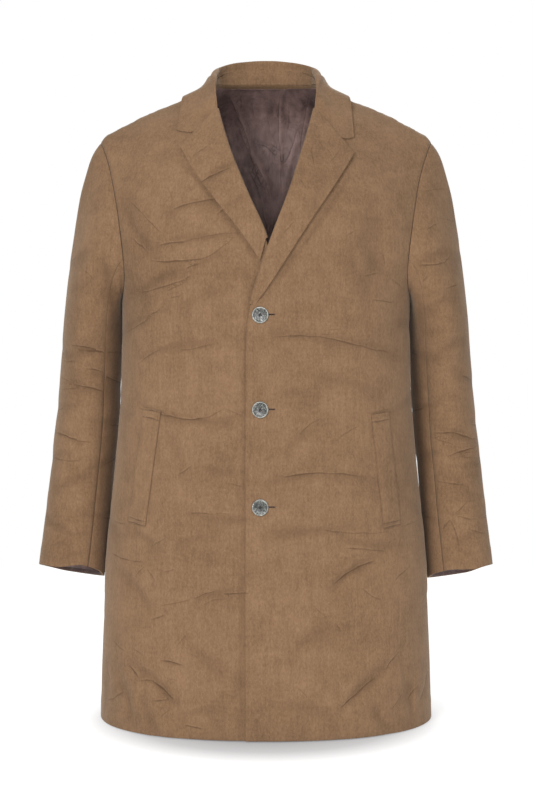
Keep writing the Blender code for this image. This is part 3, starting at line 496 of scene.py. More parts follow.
# %% Creases of the body
BODY_CREASES = {  # view: from across and up, to across and up, bow, width, depth
    "front": [
        # the wearer's right side: short drags under the lapel and across the chest
        (-0.148, -0.236, -0.045, -0.226, 0.004, 0.0065, -0.0014),
        (-0.150, -0.259, -0.088, -0.256, -0.003, 0.0050, -0.0013),
        (-0.182, -0.309, -0.108, -0.273, 0.008, 0.0080, -0.0016),
        (-0.140, -0.191, -0.076, -0.177, 0.003, 0.0070, -0.0013),
        (-0.196, -0.172, -0.160, -0.246, -0.010, 0.0100, -0.0015),
        (-0.173, -0.394, -0.078, -0.376, 0.006, 0.0070, -0.0014),
        (-0.120, -0.330, -0.060, -0.300, 0.004, 0.0090, -0.0010),
        (-0.095, -0.268, -0.050, -0.244, 0.002, 0.0045, -0.0011),
        (-0.170, -0.466, -0.090, -0.482, -0.004, 0.0060, -0.0016),
        (-0.092, -0.481, -0.032, -0.470, -0.008, 0.0060, -0.0014),
        (-0.135, -0.505, -0.112, -0.560, 0.004, 0.0080, -0.0010),
        (-0.092, -0.543, -0.036, -0.552, -0.003, 0.0060, -0.0014),
        (-0.100, -0.612, -0.030, -0.617, -0.004, 0.0065, -0.0015),
        (-0.118, -0.654, -0.062, -0.636, 0.003, 0.0100, -0.0010),
        (-0.093, -0.727, -0.036, -0.719, 0.003, 0.0060, -0.0014),
        (-0.190, -0.640, -0.150, -0.668, 0.004, 0.0090, -0.0014),
        (-0.205, -0.700, -0.165, -0.745, 0.005, 0.0080, -0.0013),
        (-0.142, -0.817, -0.118, -0.821, 0.001, 0.0040, -0.0013),
        (-0.186, -0.828, -0.124, -0.872, 0.006, 0.0075, -0.0019),
        (-0.205, -0.850, -0.190, -0.905, 0.003, 0.0070, -0.0020),
        (-0.170, -0.872, -0.152, -0.915, -0.003, 0.0080, -0.0016),
        (-0.095, -0.800, -0.045, -0.835, -0.004, 0.0110, -0.0011),
        (-0.110, -0.890, -0.060, -0.880, 0.003, 0.0080, -0.0009),
        # the wearer's left side: longer soft waves from the buttons towards the side
        (0.016, -0.362, 0.095, -0.372, 0.003, 0.0075, -0.0014),
        (0.095, -0.371, 0.190, -0.398, 0.006, 0.0080, -0.0015),
        (0.030, -0.524, 0.076, -0.486, 0.004, 0.0080, -0.0011),
        (0.000, -0.568, 0.060, -0.557, 0.004, 0.0060, -0.0013),
        (0.060, -0.556, 0.150, -0.566, 0.004, 0.0070, -0.0014),
        (0.000, -0.640, 0.115, -0.634, 0.003, 0.0080, -0.0014),
        (0.108, -0.646, 0.190, -0.662, -0.004, 0.0075, -0.0015),
        (0.094, -0.710, 0.146, -0.675, 0.004, 0.0080, -0.0014),
        (0.145, -0.200, 0.160, -0.285, -0.008, 0.0120, -0.0010),
        (0.120, -0.260, 0.140, -0.340, 0.006, 0.0110, -0.0010),
        (0.085, -0.425, 0.160, -0.452, 0.006, 0.0090, -0.0011),
        (0.116, -0.870, 0.180, -0.820, 0.006, 0.0080, -0.0019),
        (0.195, -0.845, 0.205, -0.905, 0.003, 0.0070, -0.0018),
        (0.150, -0.880, 0.172, -0.916, -0.003, 0.0080, -0.0014),
        (0.040, -0.790, 0.110, -0.770, 0.005, 0.0120, -0.0011),
        (0.030, -0.868, 0.085, -0.884, -0.003, 0.0090, -0.0009),
        (0.030, -0.440, 0.070, -0.452, 0.002, 0.0070, -0.0009),
    ],
    "left": [
        # from the armhole down
        (-0.070, -0.350, 0.050, -0.372, 0.006, 0.0085, -0.0016),
        (-0.080, -0.470, 0.030, -0.440, 0.005, 0.0080, -0.0013),
        (-0.060, -0.610, 0.070, -0.640, -0.006, 0.0090, -0.0014),
        (-0.050, -0.760, 0.040, -0.735, 0.005, 0.0080, -0.0012),
        (0.010, -0.850, 0.022, -0.910, 0.003, 0.0080, -0.0018),
    ],
    "right": [
        (-0.080, -0.345, 0.040, -0.380, -0.006, 0.0085, -0.0016),
        (-0.060, -0.480, 0.060, -0.455, 0.006, 0.0080, -0.0013),
        (-0.070, -0.650, 0.050, -0.620, 0.006, 0.0090, -0.0015),
        (-0.030, -0.770, 0.060, -0.800, -0.005, 0.0080, -0.0012),
        (-0.010, -0.845, -0.022, -0.905, 0.003, 0.0080, -0.0018),
    ],
    "back": [
        # drags from the armholes, the waist and the seat
        (-0.165, -0.235, -0.080, -0.215, 0.005, 0.0090, -0.0014),
        (-0.170, -0.300, -0.060, -0.345, -0.008, 0.0090, -0.0017),
        (-0.150, -0.395, -0.030, -0.425, 0.007, 0.0080, -0.0015),
        (-0.060, -0.470, 0.050, -0.462, 0.004, 0.0085, -0.0013),
        (-0.150, -0.545, -0.050, -0.570, 0.005, 0.0090, -0.0016),
        (-0.020, -0.590, 0.110, -0.560, 0.008, 0.0090, -0.0015),
        (-0.110, -0.650, -0.040, -0.680, -0.004, 0.0080, -0.0011),
        (-0.160, -0.740, -0.120, -0.850, 0.006, 0.0110, -0.0018),
        (0.165, -0.240, 0.095, -0.205, 0.005, 0.0090, -0.0013),
        (0.160, -0.325, 0.050, -0.360, 0.008, 0.0090, -0.0016),
        (0.140, -0.430, 0.040, -0.405, 0.005, 0.0080, -0.0012),
        (0.165, -0.640, 0.060, -0.660, -0.006, 0.0090, -0.0014),
        (0.070, -0.740, 0.090, -0.860, -0.006, 0.0110, -0.0014),
        (0.020, -0.830, -0.010, -0.905, 0.004, 0.0100, -0.0013),
        (0.180, -0.850, 0.170, -0.912, 0.003, 0.0080, -0.0016),
        (-0.045, -0.110, 0.060, -0.125, 0.004, 0.0110, -0.0009),
    ],
}
print(len(listed(BODY_CREASES)), "creases lie on the body")

# %% Creases of the sleeves
SLEEVE_CREASES = {  # view: from across and up, to across and up, bow, width, depth
    "front": [
        (0.225, -0.262, 0.268, -0.246, 0.004, 0.0080, -0.0018),
        (0.236, -0.330, 0.280, -0.305, 0.004, 0.0090, -0.0014),
        (0.250, -0.392, 0.296, -0.370, 0.003, 0.0080, -0.0013),
        (0.258, -0.508, 0.312, -0.528, 0.004, 0.0070, -0.0018),
        (0.276, -0.545, 0.312, -0.530, 0.002, 0.0055, -0.0013),
        (0.262, -0.575, 0.300, -0.600, 0.003, 0.0070, -0.0013),
        (0.278, -0.664, 0.318, -0.650, 0.002, 0.0055, -0.0010),
        (0.262, -0.690, 0.290, -0.700, 0.002, 0.0050, -0.0009),
        (-0.281, -0.390, -0.229, -0.393, 0.003, 0.0080, -0.0018),
        (-0.278, -0.441, -0.234, -0.449, -0.003, 0.0085, -0.0018),
        (-0.306, -0.510, -0.272, -0.523, 0.002, 0.0060, -0.0014),
        (-0.262, -0.300, -0.226, -0.270, 0.003, 0.0090, -0.0014),
        (-0.300, -0.590, -0.262, -0.572, 0.003, 0.0080, -0.0013),
        (-0.318, -0.640, -0.280, -0.655, 0.002, 0.0055, -0.0010),
        (-0.300, -0.690, -0.266, -0.684, 0.002, 0.0060, -0.0010),
    ],
    "left": [
        (-0.045, -0.265, 0.060, -0.235, 0.008, 0.0100, -0.0016),
        (-0.040, -0.420, 0.080, -0.450, -0.006, 0.0090, -0.0017),
        (-0.010, -0.495, 0.090, -0.520, 0.005, 0.0075, -0.0019),
        (-0.015, -0.560, 0.070, -0.545, 0.004, 0.0080, -0.0015),
        (-0.020, -0.630, 0.055, -0.650, 0.004, 0.0080, -0.0012),
    ],
    "right": [
        (-0.050, -0.250, 0.050, -0.280, -0.007, 0.0100, -0.0016),
        (-0.030, -0.400, 0.085, -0.385, 0.006, 0.0090, -0.0016),
        (-0.020, -0.470, 0.090, -0.500, 0.005, 0.0075, -0.0019),
        (-0.010, -0.540, 0.080, -0.565, -0.004, 0.0080, -0.0015),
        (-0.025, -0.640, 0.050, -0.620, 0.004, 0.0080, -0.0012),
    ],
    "back": [
        (0.235, -0.300, 0.285, -0.330, 0.004, 0.0090, -0.0015),
        (0.240, -0.470, 0.300, -0.490, 0.004, 0.0070, -0.0019),
        (0.250, -0.520, 0.305, -0.510, 0.003, 0.0060, -0.0015),
        (0.262, -0.610, 0.312, -0.630, 0.003, 0.0070, -0.0012),
        (-0.235, -0.320, -0.285, -0.300, 0.004, 0.0090, -0.0015),
        (-0.240, -0.490, -0.300, -0.465, 0.004, 0.0070, -0.0019),
        (-0.250, -0.530, -0.305, -0.545, 0.003, 0.0060, -0.0015),
        (-0.262, -0.640, -0.312, -0.620, 0.003, 0.0070, -0.0012),
    ],
}
print(len(listed(SLEEVE_CREASES)), "creases lie on the sleeves")

# %% Creases at edges
PICTURED_CREASES = [  # from spot to spot of the picture, bow in pixels, width, depth
    # the front next to a lapel's edge and to the closing edge, where the cloth above presses on it
    (183, 163, 224, 214, 1.0, 0.0050, -0.0013),
    (224, 214, 260, 264, 1.0, 0.0055, -0.0015),
    (348, 180, 308, 240, 0.0, 0.0045, -0.0012),
    (308, 240, 266, 299, -1.0, 0.0045, -0.0012),
    (258, 275, 247, 305, -1.0, 0.0040, -0.0010),
    (247, 305, 243, 420, 1.0, 0.0036, -0.0010),
    (243, 420, 242, 580, 0.0, 0.0036, -0.0010),
    (242, 580, 241, 738, 0.0, 0.0040, -0.0012),
    # the wearer's left side under the arm, and the sleeve's soft fold beside the body
    (380, 225, 372, 275, 3.0, 0.0110, -0.0011),
    (104, 262, 114, 320, 2.0, 0.0070, -0.0016),
    # the skirt's corners
    (343, 706, 374, 680, 2.0, 0.0060, -0.0011),
    (150, 681, 171, 699, 1.0, 0.0050, -0.0014),
    (109, 714, 122, 703, 0.0, 0.0050, 0.0013),
    (334, 584, 371, 562, 2.0, 0.0055, -0.0010),
    (421, 700, 428, 672, -1.0, 0.0050, -0.0016),
    (415, 700, 419, 665, 0.0, 0.0045, 0.0013),
    (107, 660, 104, 715, 1.0, 0.0050, -0.0013),
    (376, 586, 402, 584, 1.0, 0.0045, 0.0010),
]
pictured = placed(PICTURED_CREASES, shell_tree)
print(len(pictured), "more creases are pressed at the edges")

# %% Fine creases
FINE_CREASES = [  # from spot to spot of the picture, bow in pixels, strength
    # chest, the wearer's right side: a fan of sharp drags that runs up towards the lapel
    (175, 209, 216, 199, 1.5, 0.8), (161, 245, 184, 242, 0.5, 0.9), (184, 242, 238, 233, 2.0, 0.4),
    (154, 261, 200, 259, -1.0, 1.0), (200, 259, 232, 238, -2.5, 0.6), (188, 268, 197, 265, 0.3, 1.0),
    (144, 292, 189, 277, -1.5, 0.9), (168, 291, 189, 279, -0.5, 0.6), (172, 298, 180, 296, 0.0, 0.7),
    (150, 315, 159, 310, 0.0, 1.0), (152, 311, 158, 313, 0.0, 0.6), (129, 331, 150, 317, -1.0, 0.6),
    (140, 363, 159, 350, 1.0, 0.5), (182, 350, 210, 345, -0.5, 0.5), (134, 240, 145, 249, 0.0, 0.8),
    (132, 204, 144, 216, 0.5, 0.6), (145, 217, 159, 230, 0.0, 0.7), (219, 213, 226, 207, 0.0, 0.7),
    (168, 187, 173, 200, 0.0, 0.4),
    # round the wearer's right pocket
    (142, 409, 163, 415, 0.5, 1.0), (163, 415, 181, 419, 0.0, 0.7), (181, 419, 204, 418, -1.0, 0.9),
    (204, 418, 222, 410, -1.0, 0.7), (226, 409, 241, 415, 0.0, 0.4), (180, 474, 191, 466, 0.0, 0.6),
    (230, 484, 241, 486, 0.0, 0.6), (193, 513, 212, 514, 0.5, 0.9), (212, 514, 227, 514, 0.3, 0.5),
    (118, 522, 124, 524, 0.0, 0.7), (115, 554, 131, 561, 0.0, 0.9), (131, 561, 142, 562, 0.0, 0.7),
    (153, 545, 165, 539, 0.5, 0.5), (137, 575, 144, 567, 0.0, 0.7), (148, 571, 154, 580, 0.5, 0.7),
    (164, 572, 174, 570, 0.0, 0.5),
    # the skirt, the wearer's right side
    (163, 605, 189, 600, -0.6, 0.6), (197, 598, 213, 592, 1.0, 0.7), (225, 594, 247, 593, -0.5, 0.8),
    (204, 605, 226, 599, 2.0, 0.4), (153, 619, 163, 616, 0.0, 0.9), (115, 642, 124, 650, 0.0, 0.6),
    (136, 650, 142, 655, 0.5, 0.6), (131, 667, 138, 676, 0.0, 1.0), (163, 661, 180, 665, 0.5, 1.0),
    (167, 678, 175, 680, 0.0, 0.5), (142, 681, 152, 681, 0.5, 0.7), (152, 681, 171, 698, 1.0, 1.0),
    (154, 701, 167, 700, 0.0, 0.9), (160, 718, 170, 711, 0.5, 0.6), (186, 726, 201, 729, 0.3, 1.0),
    (109, 700, 122, 693, 0.0, 0.8), (108, 671, 110, 679, 0.0, 0.7), (178, 644, 186, 636, 0.0, 0.4),
    # the wearer's left side: long soft waves, and short drags near the arm
    (276, 337, 320, 337, 1.0, 0.6), (320, 337, 364, 347, 0.8, 0.7), (364, 347, 388, 352, 0.0, 0.5),
    (374, 300, 391, 302, 0.0, 0.8), (392, 280, 402, 288, 1.0, 0.5), (367, 276, 377, 273, 0.0, 0.6),
    (384, 255, 385, 263, 0.0, 0.6), (348, 235, 354, 231, 0.0, 0.5), (326, 331, 345, 327, 0.0, 0.4),
    (285, 477, 326, 473, 0.8, 0.9), (326, 473, 358, 476, 0.5, 0.6), (301, 433, 319, 419, 1.0, 0.5),
    (336, 441, 357, 427, 1.0, 0.5), (327, 531, 343, 532, 0.0, 0.6), (343, 532, 387, 532, -0.8, 0.6),
    (348, 548, 362, 549, 0.3, 0.9), (362, 549, 384, 551, 0.0, 0.5), (336, 582, 354, 570, 0.5, 0.9),
    (354, 570, 372, 562, 0.8, 0.9), (407, 475, 410, 465, 0.0, 0.6), (402, 526, 415, 521, 0.0, 0.6),
    (363, 589, 380, 599, -1.0, 0.6), (313, 605, 327, 617, -0.5, 0.5), (337, 625, 340, 630, 0.0, 0.7),
    (387, 668, 398, 653, 1.0, 0.8), (343, 706, 356, 696, 0.5, 0.9), (356, 696, 373, 680, 1.0, 0.6),
    (409, 697, 415, 687, 0.0, 0.8), (420, 699, 427, 673, -1.0, 0.9), (392, 708, 401, 695, 0.0, 0.6),
    (395, 580, 407, 567, 0.5, 0.7), (422, 601, 425, 594, 0.0, 0.7), (300, 690, 307, 697, 0.0, 0.5),
    # the wearer's right sleeve
    (73, 345, 94, 349, 0.5, 0.9), (81, 351, 116, 352, 0.3, 1.0), (65, 361, 75, 361, 0.0, 0.5),
    (87, 369, 104, 372, 0.5, 0.8), (63, 378, 69, 381, 0.0, 0.6), (76, 385, 105, 391, 0.5, 1.0),
    (63, 389, 76, 388, 0.0, 0.5), (58, 433, 78, 441, 0.5, 1.0), (78, 441, 90, 442, 0.0, 0.6),
    (54, 457, 77, 461, -1.0, 0.7), (82, 268, 93, 278, 0.0, 0.5),
    # the wearer's left sleeve
    (425, 191, 445, 189, 0.5, 0.4), (429, 228, 437, 224, 0.3, 0.8), (422, 265, 443, 263, -0.8, 1.0),
    (443, 263, 450, 257, 0.0, 0.7), (448, 288, 457, 285, 0.0, 0.9), (420, 284, 426, 278, 0.0, 0.6),
    (438, 218, 455, 223, 1.0, 0.4), (436, 433, 452, 433, 0.3, 0.9), (452, 433, 475, 439, 0.5, 0.9),
    (430, 437, 452, 444, 0.0, 0.5), (450, 455, 475, 447, 0.5, 1.0), (461, 457, 475, 458, 0.0, 0.5),
    (434, 482, 462, 485, 1.0, 0.6), (457, 512, 466, 503, 0.0, 0.7), (459, 517, 475, 519, 0.0, 0.6),
    (471, 530, 484, 533, 0.0, 0.6), (439, 539, 450, 519, 1.0, 0.6), (450, 519, 459, 548, 1.5, 0.6),
]
HIDDEN_FINE_CREASES = {  # view: from across and up, to across and up, bow, strength
    "back": [
        (-0.150, -0.205, -0.095, -0.190, 0.002, 0.8), (-0.160, -0.250, -0.110, -0.262, -0.002, 0.9),
        (-0.140, -0.318, -0.085, -0.336, -0.001, 1.0), (-0.120, -0.398, -0.060, -0.412, 0.002, 0.8),
        (-0.040, -0.468, 0.030, -0.463, 0.002, 0.7), (-0.135, -0.552, -0.080, -0.565, 0.001, 0.9),
        (0.000, -0.586, 0.080, -0.566, 0.003, 0.9), (-0.100, -0.655, -0.060, -0.671, 0.000, 0.6),
        (-0.150, -0.780, -0.128, -0.830, 0.002, 0.9), (-0.110, -0.850, -0.090, -0.872, 0.001, 0.8),
        (-0.200, -0.840, -0.176, -0.872, 0.000, 0.9), (-0.070, -0.905, -0.050, -0.901, 0.000, 0.9),
        (0.150, -0.232, 0.110, -0.212, 0.001, 0.9), (0.140, -0.262, 0.100, -0.258, -0.001, 0.7),
        (0.140, -0.332, 0.080, -0.348, 0.003, 1.0), (0.115, -0.425, 0.070, -0.414, 0.002, 0.7),
        (0.150, -0.645, 0.090, -0.655, -0.002, 0.8), (0.075, -0.770, 0.084, -0.820, -0.002, 0.8),
        (0.150, -0.868, 0.180, -0.840, 0.001, 0.9), (0.010, -0.850, -0.004, -0.885, 0.001, 0.8),
        (-0.015, -0.112, 0.040, -0.120, 0.002, 0.5), (0.030, -0.700, 0.060, -0.715, 0.000, 0.6),
        (-0.262, -0.300, -0.238, -0.312, 0.001, 0.8), (-0.290, -0.472, -0.250, -0.486, 0.002, 1.0),
        (-0.296, -0.540, -0.262, -0.534, 0.000, 0.8), (0.244, -0.306, 0.276, -0.324, 0.001, 0.8),
        (0.250, -0.474, 0.292, -0.487, 0.002, 1.0), (0.262, -0.514, 0.296, -0.512, 0.000, 0.8),
    ],
    "left": [
        (-0.010, -0.248, 0.040, -0.240, 0.002, 0.8), (-0.020, -0.428, 0.050, -0.444, -0.002, 0.9),
        (0.005, -0.500, 0.070, -0.514, 0.001, 1.0), (0.000, -0.557, 0.050, -0.549, 0.001, 0.8),
        (-0.010, -0.634, 0.035, -0.644, 0.000, 0.6), (0.012, -0.862, 0.020, -0.900, 0.001, 0.9),
    ],
    "right": [
        (-0.030, -0.255, 0.030, -0.272, -0.002, 0.8), (-0.010, -0.396, 0.060, -0.388, 0.002, 0.9),
        (0.000, -0.476, 0.070, -0.494, 0.001, 1.0), (0.010, -0.545, 0.060, -0.560, -0.001, 0.8),
        (-0.010, -0.634, 0.035, -0.625, 0.000, 0.6), (-0.012, -0.855, -0.020, -0.895, 0.001, 0.9),
    ],
}
fine = placed(FINE_CREASES, shell_tree) + listed(HIDDEN_FINE_CREASES)
print(len(fine), "creases are drawn fine")

# %% [markdown]
# ## Seams, hems and the shell's relief
# A pressed seam pulls its cloth down into a narrow groove, and the thread puckers it a little on each
# side. A hem or a faced edge is double, so the cloth stands slightly proud there and drops off within a
# finger's width. Both are worked out from each point's distance to the nearest seam or border. The
# shoulders and sleeve heads are rounder than the plain walls, and the cuffs arch over the hands.

# %% Sizes of the relief
SEAM_GROOVE = (0.0022, -0.0008)  # reach and depth
SEAM_HOLLOW = (0.0080, -0.0005)
SEAM_CALM = (0.012, 0.3)  # how near to a seam the creases fade, and how much of them stays on it
SEAM_PUCKER = (0.008, 0.00030, 5.0)  # length, height and seed of the thread's small waves
PUCKER_REACH = 0.010
# painted shade along each seam's groove: its reach and strength
SEAM_SHADE = (0.0030, 0.9)  # reach and strength
# a seam's fine line is painted shade in it and painted light beside it
SEAM_LINE = (0.0040, 0.7)  # how near to a seam its fine line is drawn, and its strength
EDGE_STEP = (0.0300, 0.00045, 0.8)  # reach and height of a turned hem, and the share of it that is level
SOFT_WAVES = ((0.075, 0.0014, 3.0), (0.028, 0.00045, 11.0))  # length, height and seed
CALM_SIDE = 0.35  # how much of the relief stays where the cloth faces sideways, at the coat's outline
SIDEWAYS = (0.70, 0.25)  # from how far sideways the cloth is calm, and how soon
LEANS = (  # height, reach, and how far the body and the sleeve swell towards each other there
    (-0.335, 0.055, 0.0010, 0.0016),
    (-0.680, 0.062, 0.0018, 0.0022),
)
TOWARDS = (0.3, 0.5)  # how far a point faces the other piece before it leans there, and how soon
HIGH_SLEEVE = (-0.46, 0.10, -0.20, 0.03)  # its seam is faint from the first height to the third, with fades
# the second share also takes away the seam's painted shade there
FAINT = (0.8, 0.9)  # how much of its groove and of its line is lost there
MOST_RELIEF = 0.0035
FULLER_SHELL = (  # place on either side, reach across, back and up, and height
    ((0.160, 0.000, -0.040), (0.035, 0.040, 0.050), 0.0024),
    ((0.200, 0.003, -0.057), (0.050, 0.045, 0.045), 0.0046),
    ((0.246, 0.005, -0.095), (0.035, 0.045, 0.035), 0.0050),
    ((0.268, 0.010, -0.155), (0.045, 0.050, 0.045), 0.0024),
)
RIDGE_ROUNDS = 18  # rounds the shoulder seam's ridge
RIDGE_REACH = 0.020  # how far in front of and behind the seam
RIDGE_FROM = (0.09, 0.04, -0.18, 0.05)  # outwards of one place and above another, each with its fade
CUFF_TURN = 0.050  # how far up a cuff its hanging edge is felt
CUFF_DROPS = (0.0022, 0.0050)  # how far the edge drops on the wearer's right and left
CUFF_OUTER = (0.332, 0.035)  # the cuff's outer end, which stays, and how soon past it the edge moves
CUFF_ARCH = (0.262, 0.026)  # the front edge's highest place and its reach
CUFF_LIFTS = (0.0092, 0.0052)  # how far it lifts on the wearer's right and left
CUFF_FRONT = 0.5  # how squarely the cloth faces forwards where it lifts in full
print("the cloth swells or sinks by up to", MOST_RELIEF * 1000, "mm, and more at the shoulders")


# %% Swelling and hanging
def fuller(points, places):
    """How far the cloth stands out more than the plain wall, at the same places left and right."""
    spots = np.abs(points * (1, 0, 0)) + points * (0, 1, 1)
    return sum(
        height * np.exp(-(((spots - place) / reach) ** 2).sum(axis=1)) for place, reach, height in places)


def hang(points, ways):
    """How far a cuff's edge hangs below the plain wall's, or lifts off it in front."""
    across = np.abs(points[:, 0])
    on_right = points[:, 0] < 0
    lift = np.where(on_right, *CUFF_LIFTS) * bell(across - CUFF_ARCH[0], CUFF_ARCH[1])
    moved = soft(-ways[:, 1] / CUFF_FRONT) * lift - np.where(on_right, *CUFF_DROPS)
    return moved * soft((CUFF_OUTER[0] - across) / CUFF_OUTER[1])


def waves(points, *forms):
    """Several soft ripples together, each with its length, height and seed."""
    return sum(ripple(points, *form) for form in forms)


fullest = max(fuller(np.array([place]), FULLER_SHELL)[0] for place, *_ in FULLER_SHELL)
print("the shoulders stand out by up to", round(fullest * 1000, 1), "mm")

# %% Find the seams
def near(points, spots):
    """Each point's distance from a set of other points."""
    tree = kdtree.KDTree(len(spots))
    for number, spot in enumerate(spots):
        tree.insert(spot, number)
    tree.balance()
    return np.array([tree.find(spot)[2] for spot in points])


def border_of(piece):
    """The middles of the edges round a sheet."""
    with opened(piece) as bm:
        return [(edge.verts[0].co + edge.verts[1].co) / 2 for edge in bm.edges if edge.is_boundary]


points, ways = points_of(shell)
sleeve_numbers = {k for k, slot in enumerate(shell.data.materials) if "sleeve" in slot.name}
seam_points = []
with opened(shell) as bm:
    for edge in bm.edges:
        if len({face.material_index for face in edge.link_faces}) == 2:
            start, end = edge.verts[0].co, edge.verts[1].co
            seam_points += [(start * (2 - k) + end * k) / 2 for k in (0, 1, 2)]
    on_sleeve = np.array([all(f.material_index in sleeve_numbers for f in v.link_faces) for v in bm.verts])
from_seam, from_edge = near(points, seam_points), near(points, border_of(shell))
print(on_sleeve.sum(), "points lie on the sleeves, and", (from_seam < SEAM_LINE[0]).sum(), "beside a seam")

# %% Work out the shell's relief
out, shade = np.zeros(len(points)), np.zeros(len(points))
for here, creases in (
    (~on_sleeve, listed(BODY_CREASES)), (on_sleeve, listed(SLEEVE_CREASES)), (slice(None), pictured),
):
    pressed_out, shaded = press(points[here], ways[here], creases)
    out[here] += pressed_out
    shade[here] += shaded
out = out * (SEAM_CALM[1] + (1.0 - SEAM_CALM[1]) * soft(from_seam / SEAM_CALM[0]))
out += waves(points, *SOFT_WAVES)
out *= 1.0 - (1.0 - CALM_SIDE) * soft((np.abs(ways[:, 0]) - SIDEWAYS[0]) / SIDEWAYS[1])
towards_arm = np.where(on_sleeve, -1.0, 1.0) * np.sign(points[:, 0]) * ways[:, 0]
for height, reach, of_body, of_sleeve in LEANS:
    swell = np.where(on_sleeve, of_sleeve, of_body) * soft((towards_arm - TOWARDS[0]) / TOWARDS[1])
    out += swell * bell(points[:, 2] - height, reach)
above, rise, below, fall = HIGH_SLEEVE
high_on_sleeve = on_sleeve * soft((points[:, 2] - above) / rise) * soft((below - points[:, 2]) / fall)
for reach, depth in (SEAM_GROOVE, SEAM_HOLLOW):
    out += depth * bell(from_seam, reach) * (1.0 - FAINT[0] * high_on_sleeve)
out += ripple(points, *SEAM_PUCKER) * bell(from_seam, PUCKER_REACH)
hem_reach, hem_height, level_share = EDGE_STEP
out += hem_height * (1.0 - soft((from_edge - level_share * hem_reach) / ((1.0 - level_share) * hem_reach)))
out = np.clip(out, -MOST_RELIEF, MOST_RELIEF) + fuller(points, FULLER_SHELL)
print("the relief runs from", round(out.min() * 1000, 1), "to", round(out.max() * 1000, 1), "mm")

# %% Press the shell and keep what its finish reads
pressed = points + ways * out[:, None]
out_from, out_fade, up_from, up_fade = RIDGE_FROM
ridge = bell(points[:, 1], RIDGE_REACH)
ridge *= soft((np.abs(points[:, 0]) - out_from) / out_fade) * soft((points[:, 2] - up_from) / up_fade)
pressed[:, 2] += ridge * (even_out(shell, points[:, 2], RIDGE_ROUNDS) - points[:, 2])
pressed[:, 2] += on_sleeve * (1.0 - soft(from_edge / CUFF_TURN)) * hang(points, ways)
move(shell, pressed)
across, sharp = trace(points, ways, fine)
in_seam = from_seam < SEAM_LINE[0]
plain = 1.0 - FAINT[1] * high_on_sleeve
# the finish reads these as painted shade and light: darker in creases and along seams, and the fine lines'
# dark folds with light edges
mark(
    shell,
    shade=shade + SEAM_SHADE[1] * plain * bell(from_seam, SEAM_SHADE[0]),
    across=np.where(in_seam, from_seam * 1000, across),
    sharp=np.where(in_seam, SEAM_LINE[1] * plain, sharp),
)
print((sharp > LEAST_FELT).sum(), "points feel a fine crease")

# %% [markdown]
# ## Cutting the shell apart
# The sewn shell is parted again by its tags, so that each piece stands for its own wall in the frame.
# Every border moves in by half a seam, the cloth gets its thickness inwards, and a small bevel rounds
# the rims. Where two rounded rims meet, they make the fine dark line that a seam has.

# %% Part the pieces and give them thickness
CLOTH = 0.0022
CLOTH_ROUNDING = 0.0006
HALF_SEAM = 0.00002
RIM_ANGLE = math.radians(60)
cloth = {}


def narrow(piece, step):
    """Moves a sheet's border in by a step."""
    moves = {}
    with opened(piece, change=True) as bm:
        for corner in bm.verts:
            inner = [edge.other_vert(corner) for edge in corner.link_edges if not edge.is_boundary]
            if corner.is_boundary and inner:
                way = sum((other.co - corner.co for other in inner), Vector()).normalized()
                moves[corner] = way * step
        for corner, way in moves.items():
            corner.co += way


def thicken(piece, thickness, rounding):
    """Gives a sheet its thickness, inwards, with rounded rims."""
    only(piece)
    wall = piece.modifiers.new("thickness", "SOLIDIFY")
    wall.thickness = thickness
    wall.offset = -1.0
    bpy.ops.object.modifier_apply(modifier=wall.name)
    rim = piece.modifiers.new("rounded rim", "BEVEL")
    rim.width = rounding
    rim.segments = 2
    rim.limit_method = "ANGLE"
    rim.angle_limit = RIM_ANGLE
    bpy.ops.object.modifier_apply(modifier=rim.name)
    bpy.ops.object.shade_smooth()


def finished(piece, name, *stands_for):
    """Names a piece, ties it to the coat and hides the nodes of the frame that it stands for."""
    piece.name = name
    piece.data.name = name
    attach(piece, "root")
    if stands_for:
        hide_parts(*stands_for)
    print(name, "has", sum(len(face.vertices) - 2 for face in piece.data.polygons), "triangles")


edit_all(shell, (bpy.ops.mesh.separate, {"type": "MATERIAL"}))
for piece in list(bpy.context.selected_objects):
    node = piece.data.materials[0].name
    piece.data.materials.clear()
    narrow(piece, HALF_SEAM)
    thicken(piece, CLOTH, CLOTH_ROUNDING)
    finished(piece, node + "_cloth", node)
    cloth[node] = piece
for node in SHELL:
    bpy.data.materials.remove(bpy.data.materials[node])

# %% [markdown]
# ## Lapels, collar and stand
# These turn over a roll, so the side that shows is followed from inside the coat, over the fold and out
# across the chest. Their edges are pressed flat, and the lapels carry a few slanting drags of their own.

# %% Creases of the lapels and the collar
LAPEL_CREASES = {  # as for the body
    "front": [
        (-0.098, -0.158, -0.058, -0.128, 0.002, 0.0055, -0.0011),
        (-0.086, -0.150, -0.040, -0.122, 0.003, 0.0060, -0.0012),
        (-0.105, -0.135, -0.088, -0.118, 0.001, 0.0035, -0.0006),
        (-0.060, -0.190, -0.030, -0.172, 0.002, 0.0060, -0.0008),
        (0.046, -0.118, 0.052, -0.150, 0.002, 0.0050, -0.0010),
        (0.036, -0.165, 0.064, -0.178, 0.002, 0.0070, -0.0008),
        (0.080, -0.150, 0.066, -0.195, -0.002, 0.0090, -0.0008),
        (0.030, -0.205, 0.018, -0.240, 0.002, 0.0060, -0.0008),
    ],
}
COLLAR_CREASES = {  # as for the body
    "front": [
        (0.068, -0.052, 0.092, -0.070, 0.002, 0.0050, -0.0007),
        (-0.080, -0.048, -0.100, -0.062, 0.002, 0.0060, -0.0006),
    ],
    "back": [
        (-0.050, 0.010, -0.035, -0.012, 0.002, 0.0060, -0.0008),
        (0.042, 0.012, 0.060, -0.010, 0.002, 0.0060, -0.0008),
    ],
}
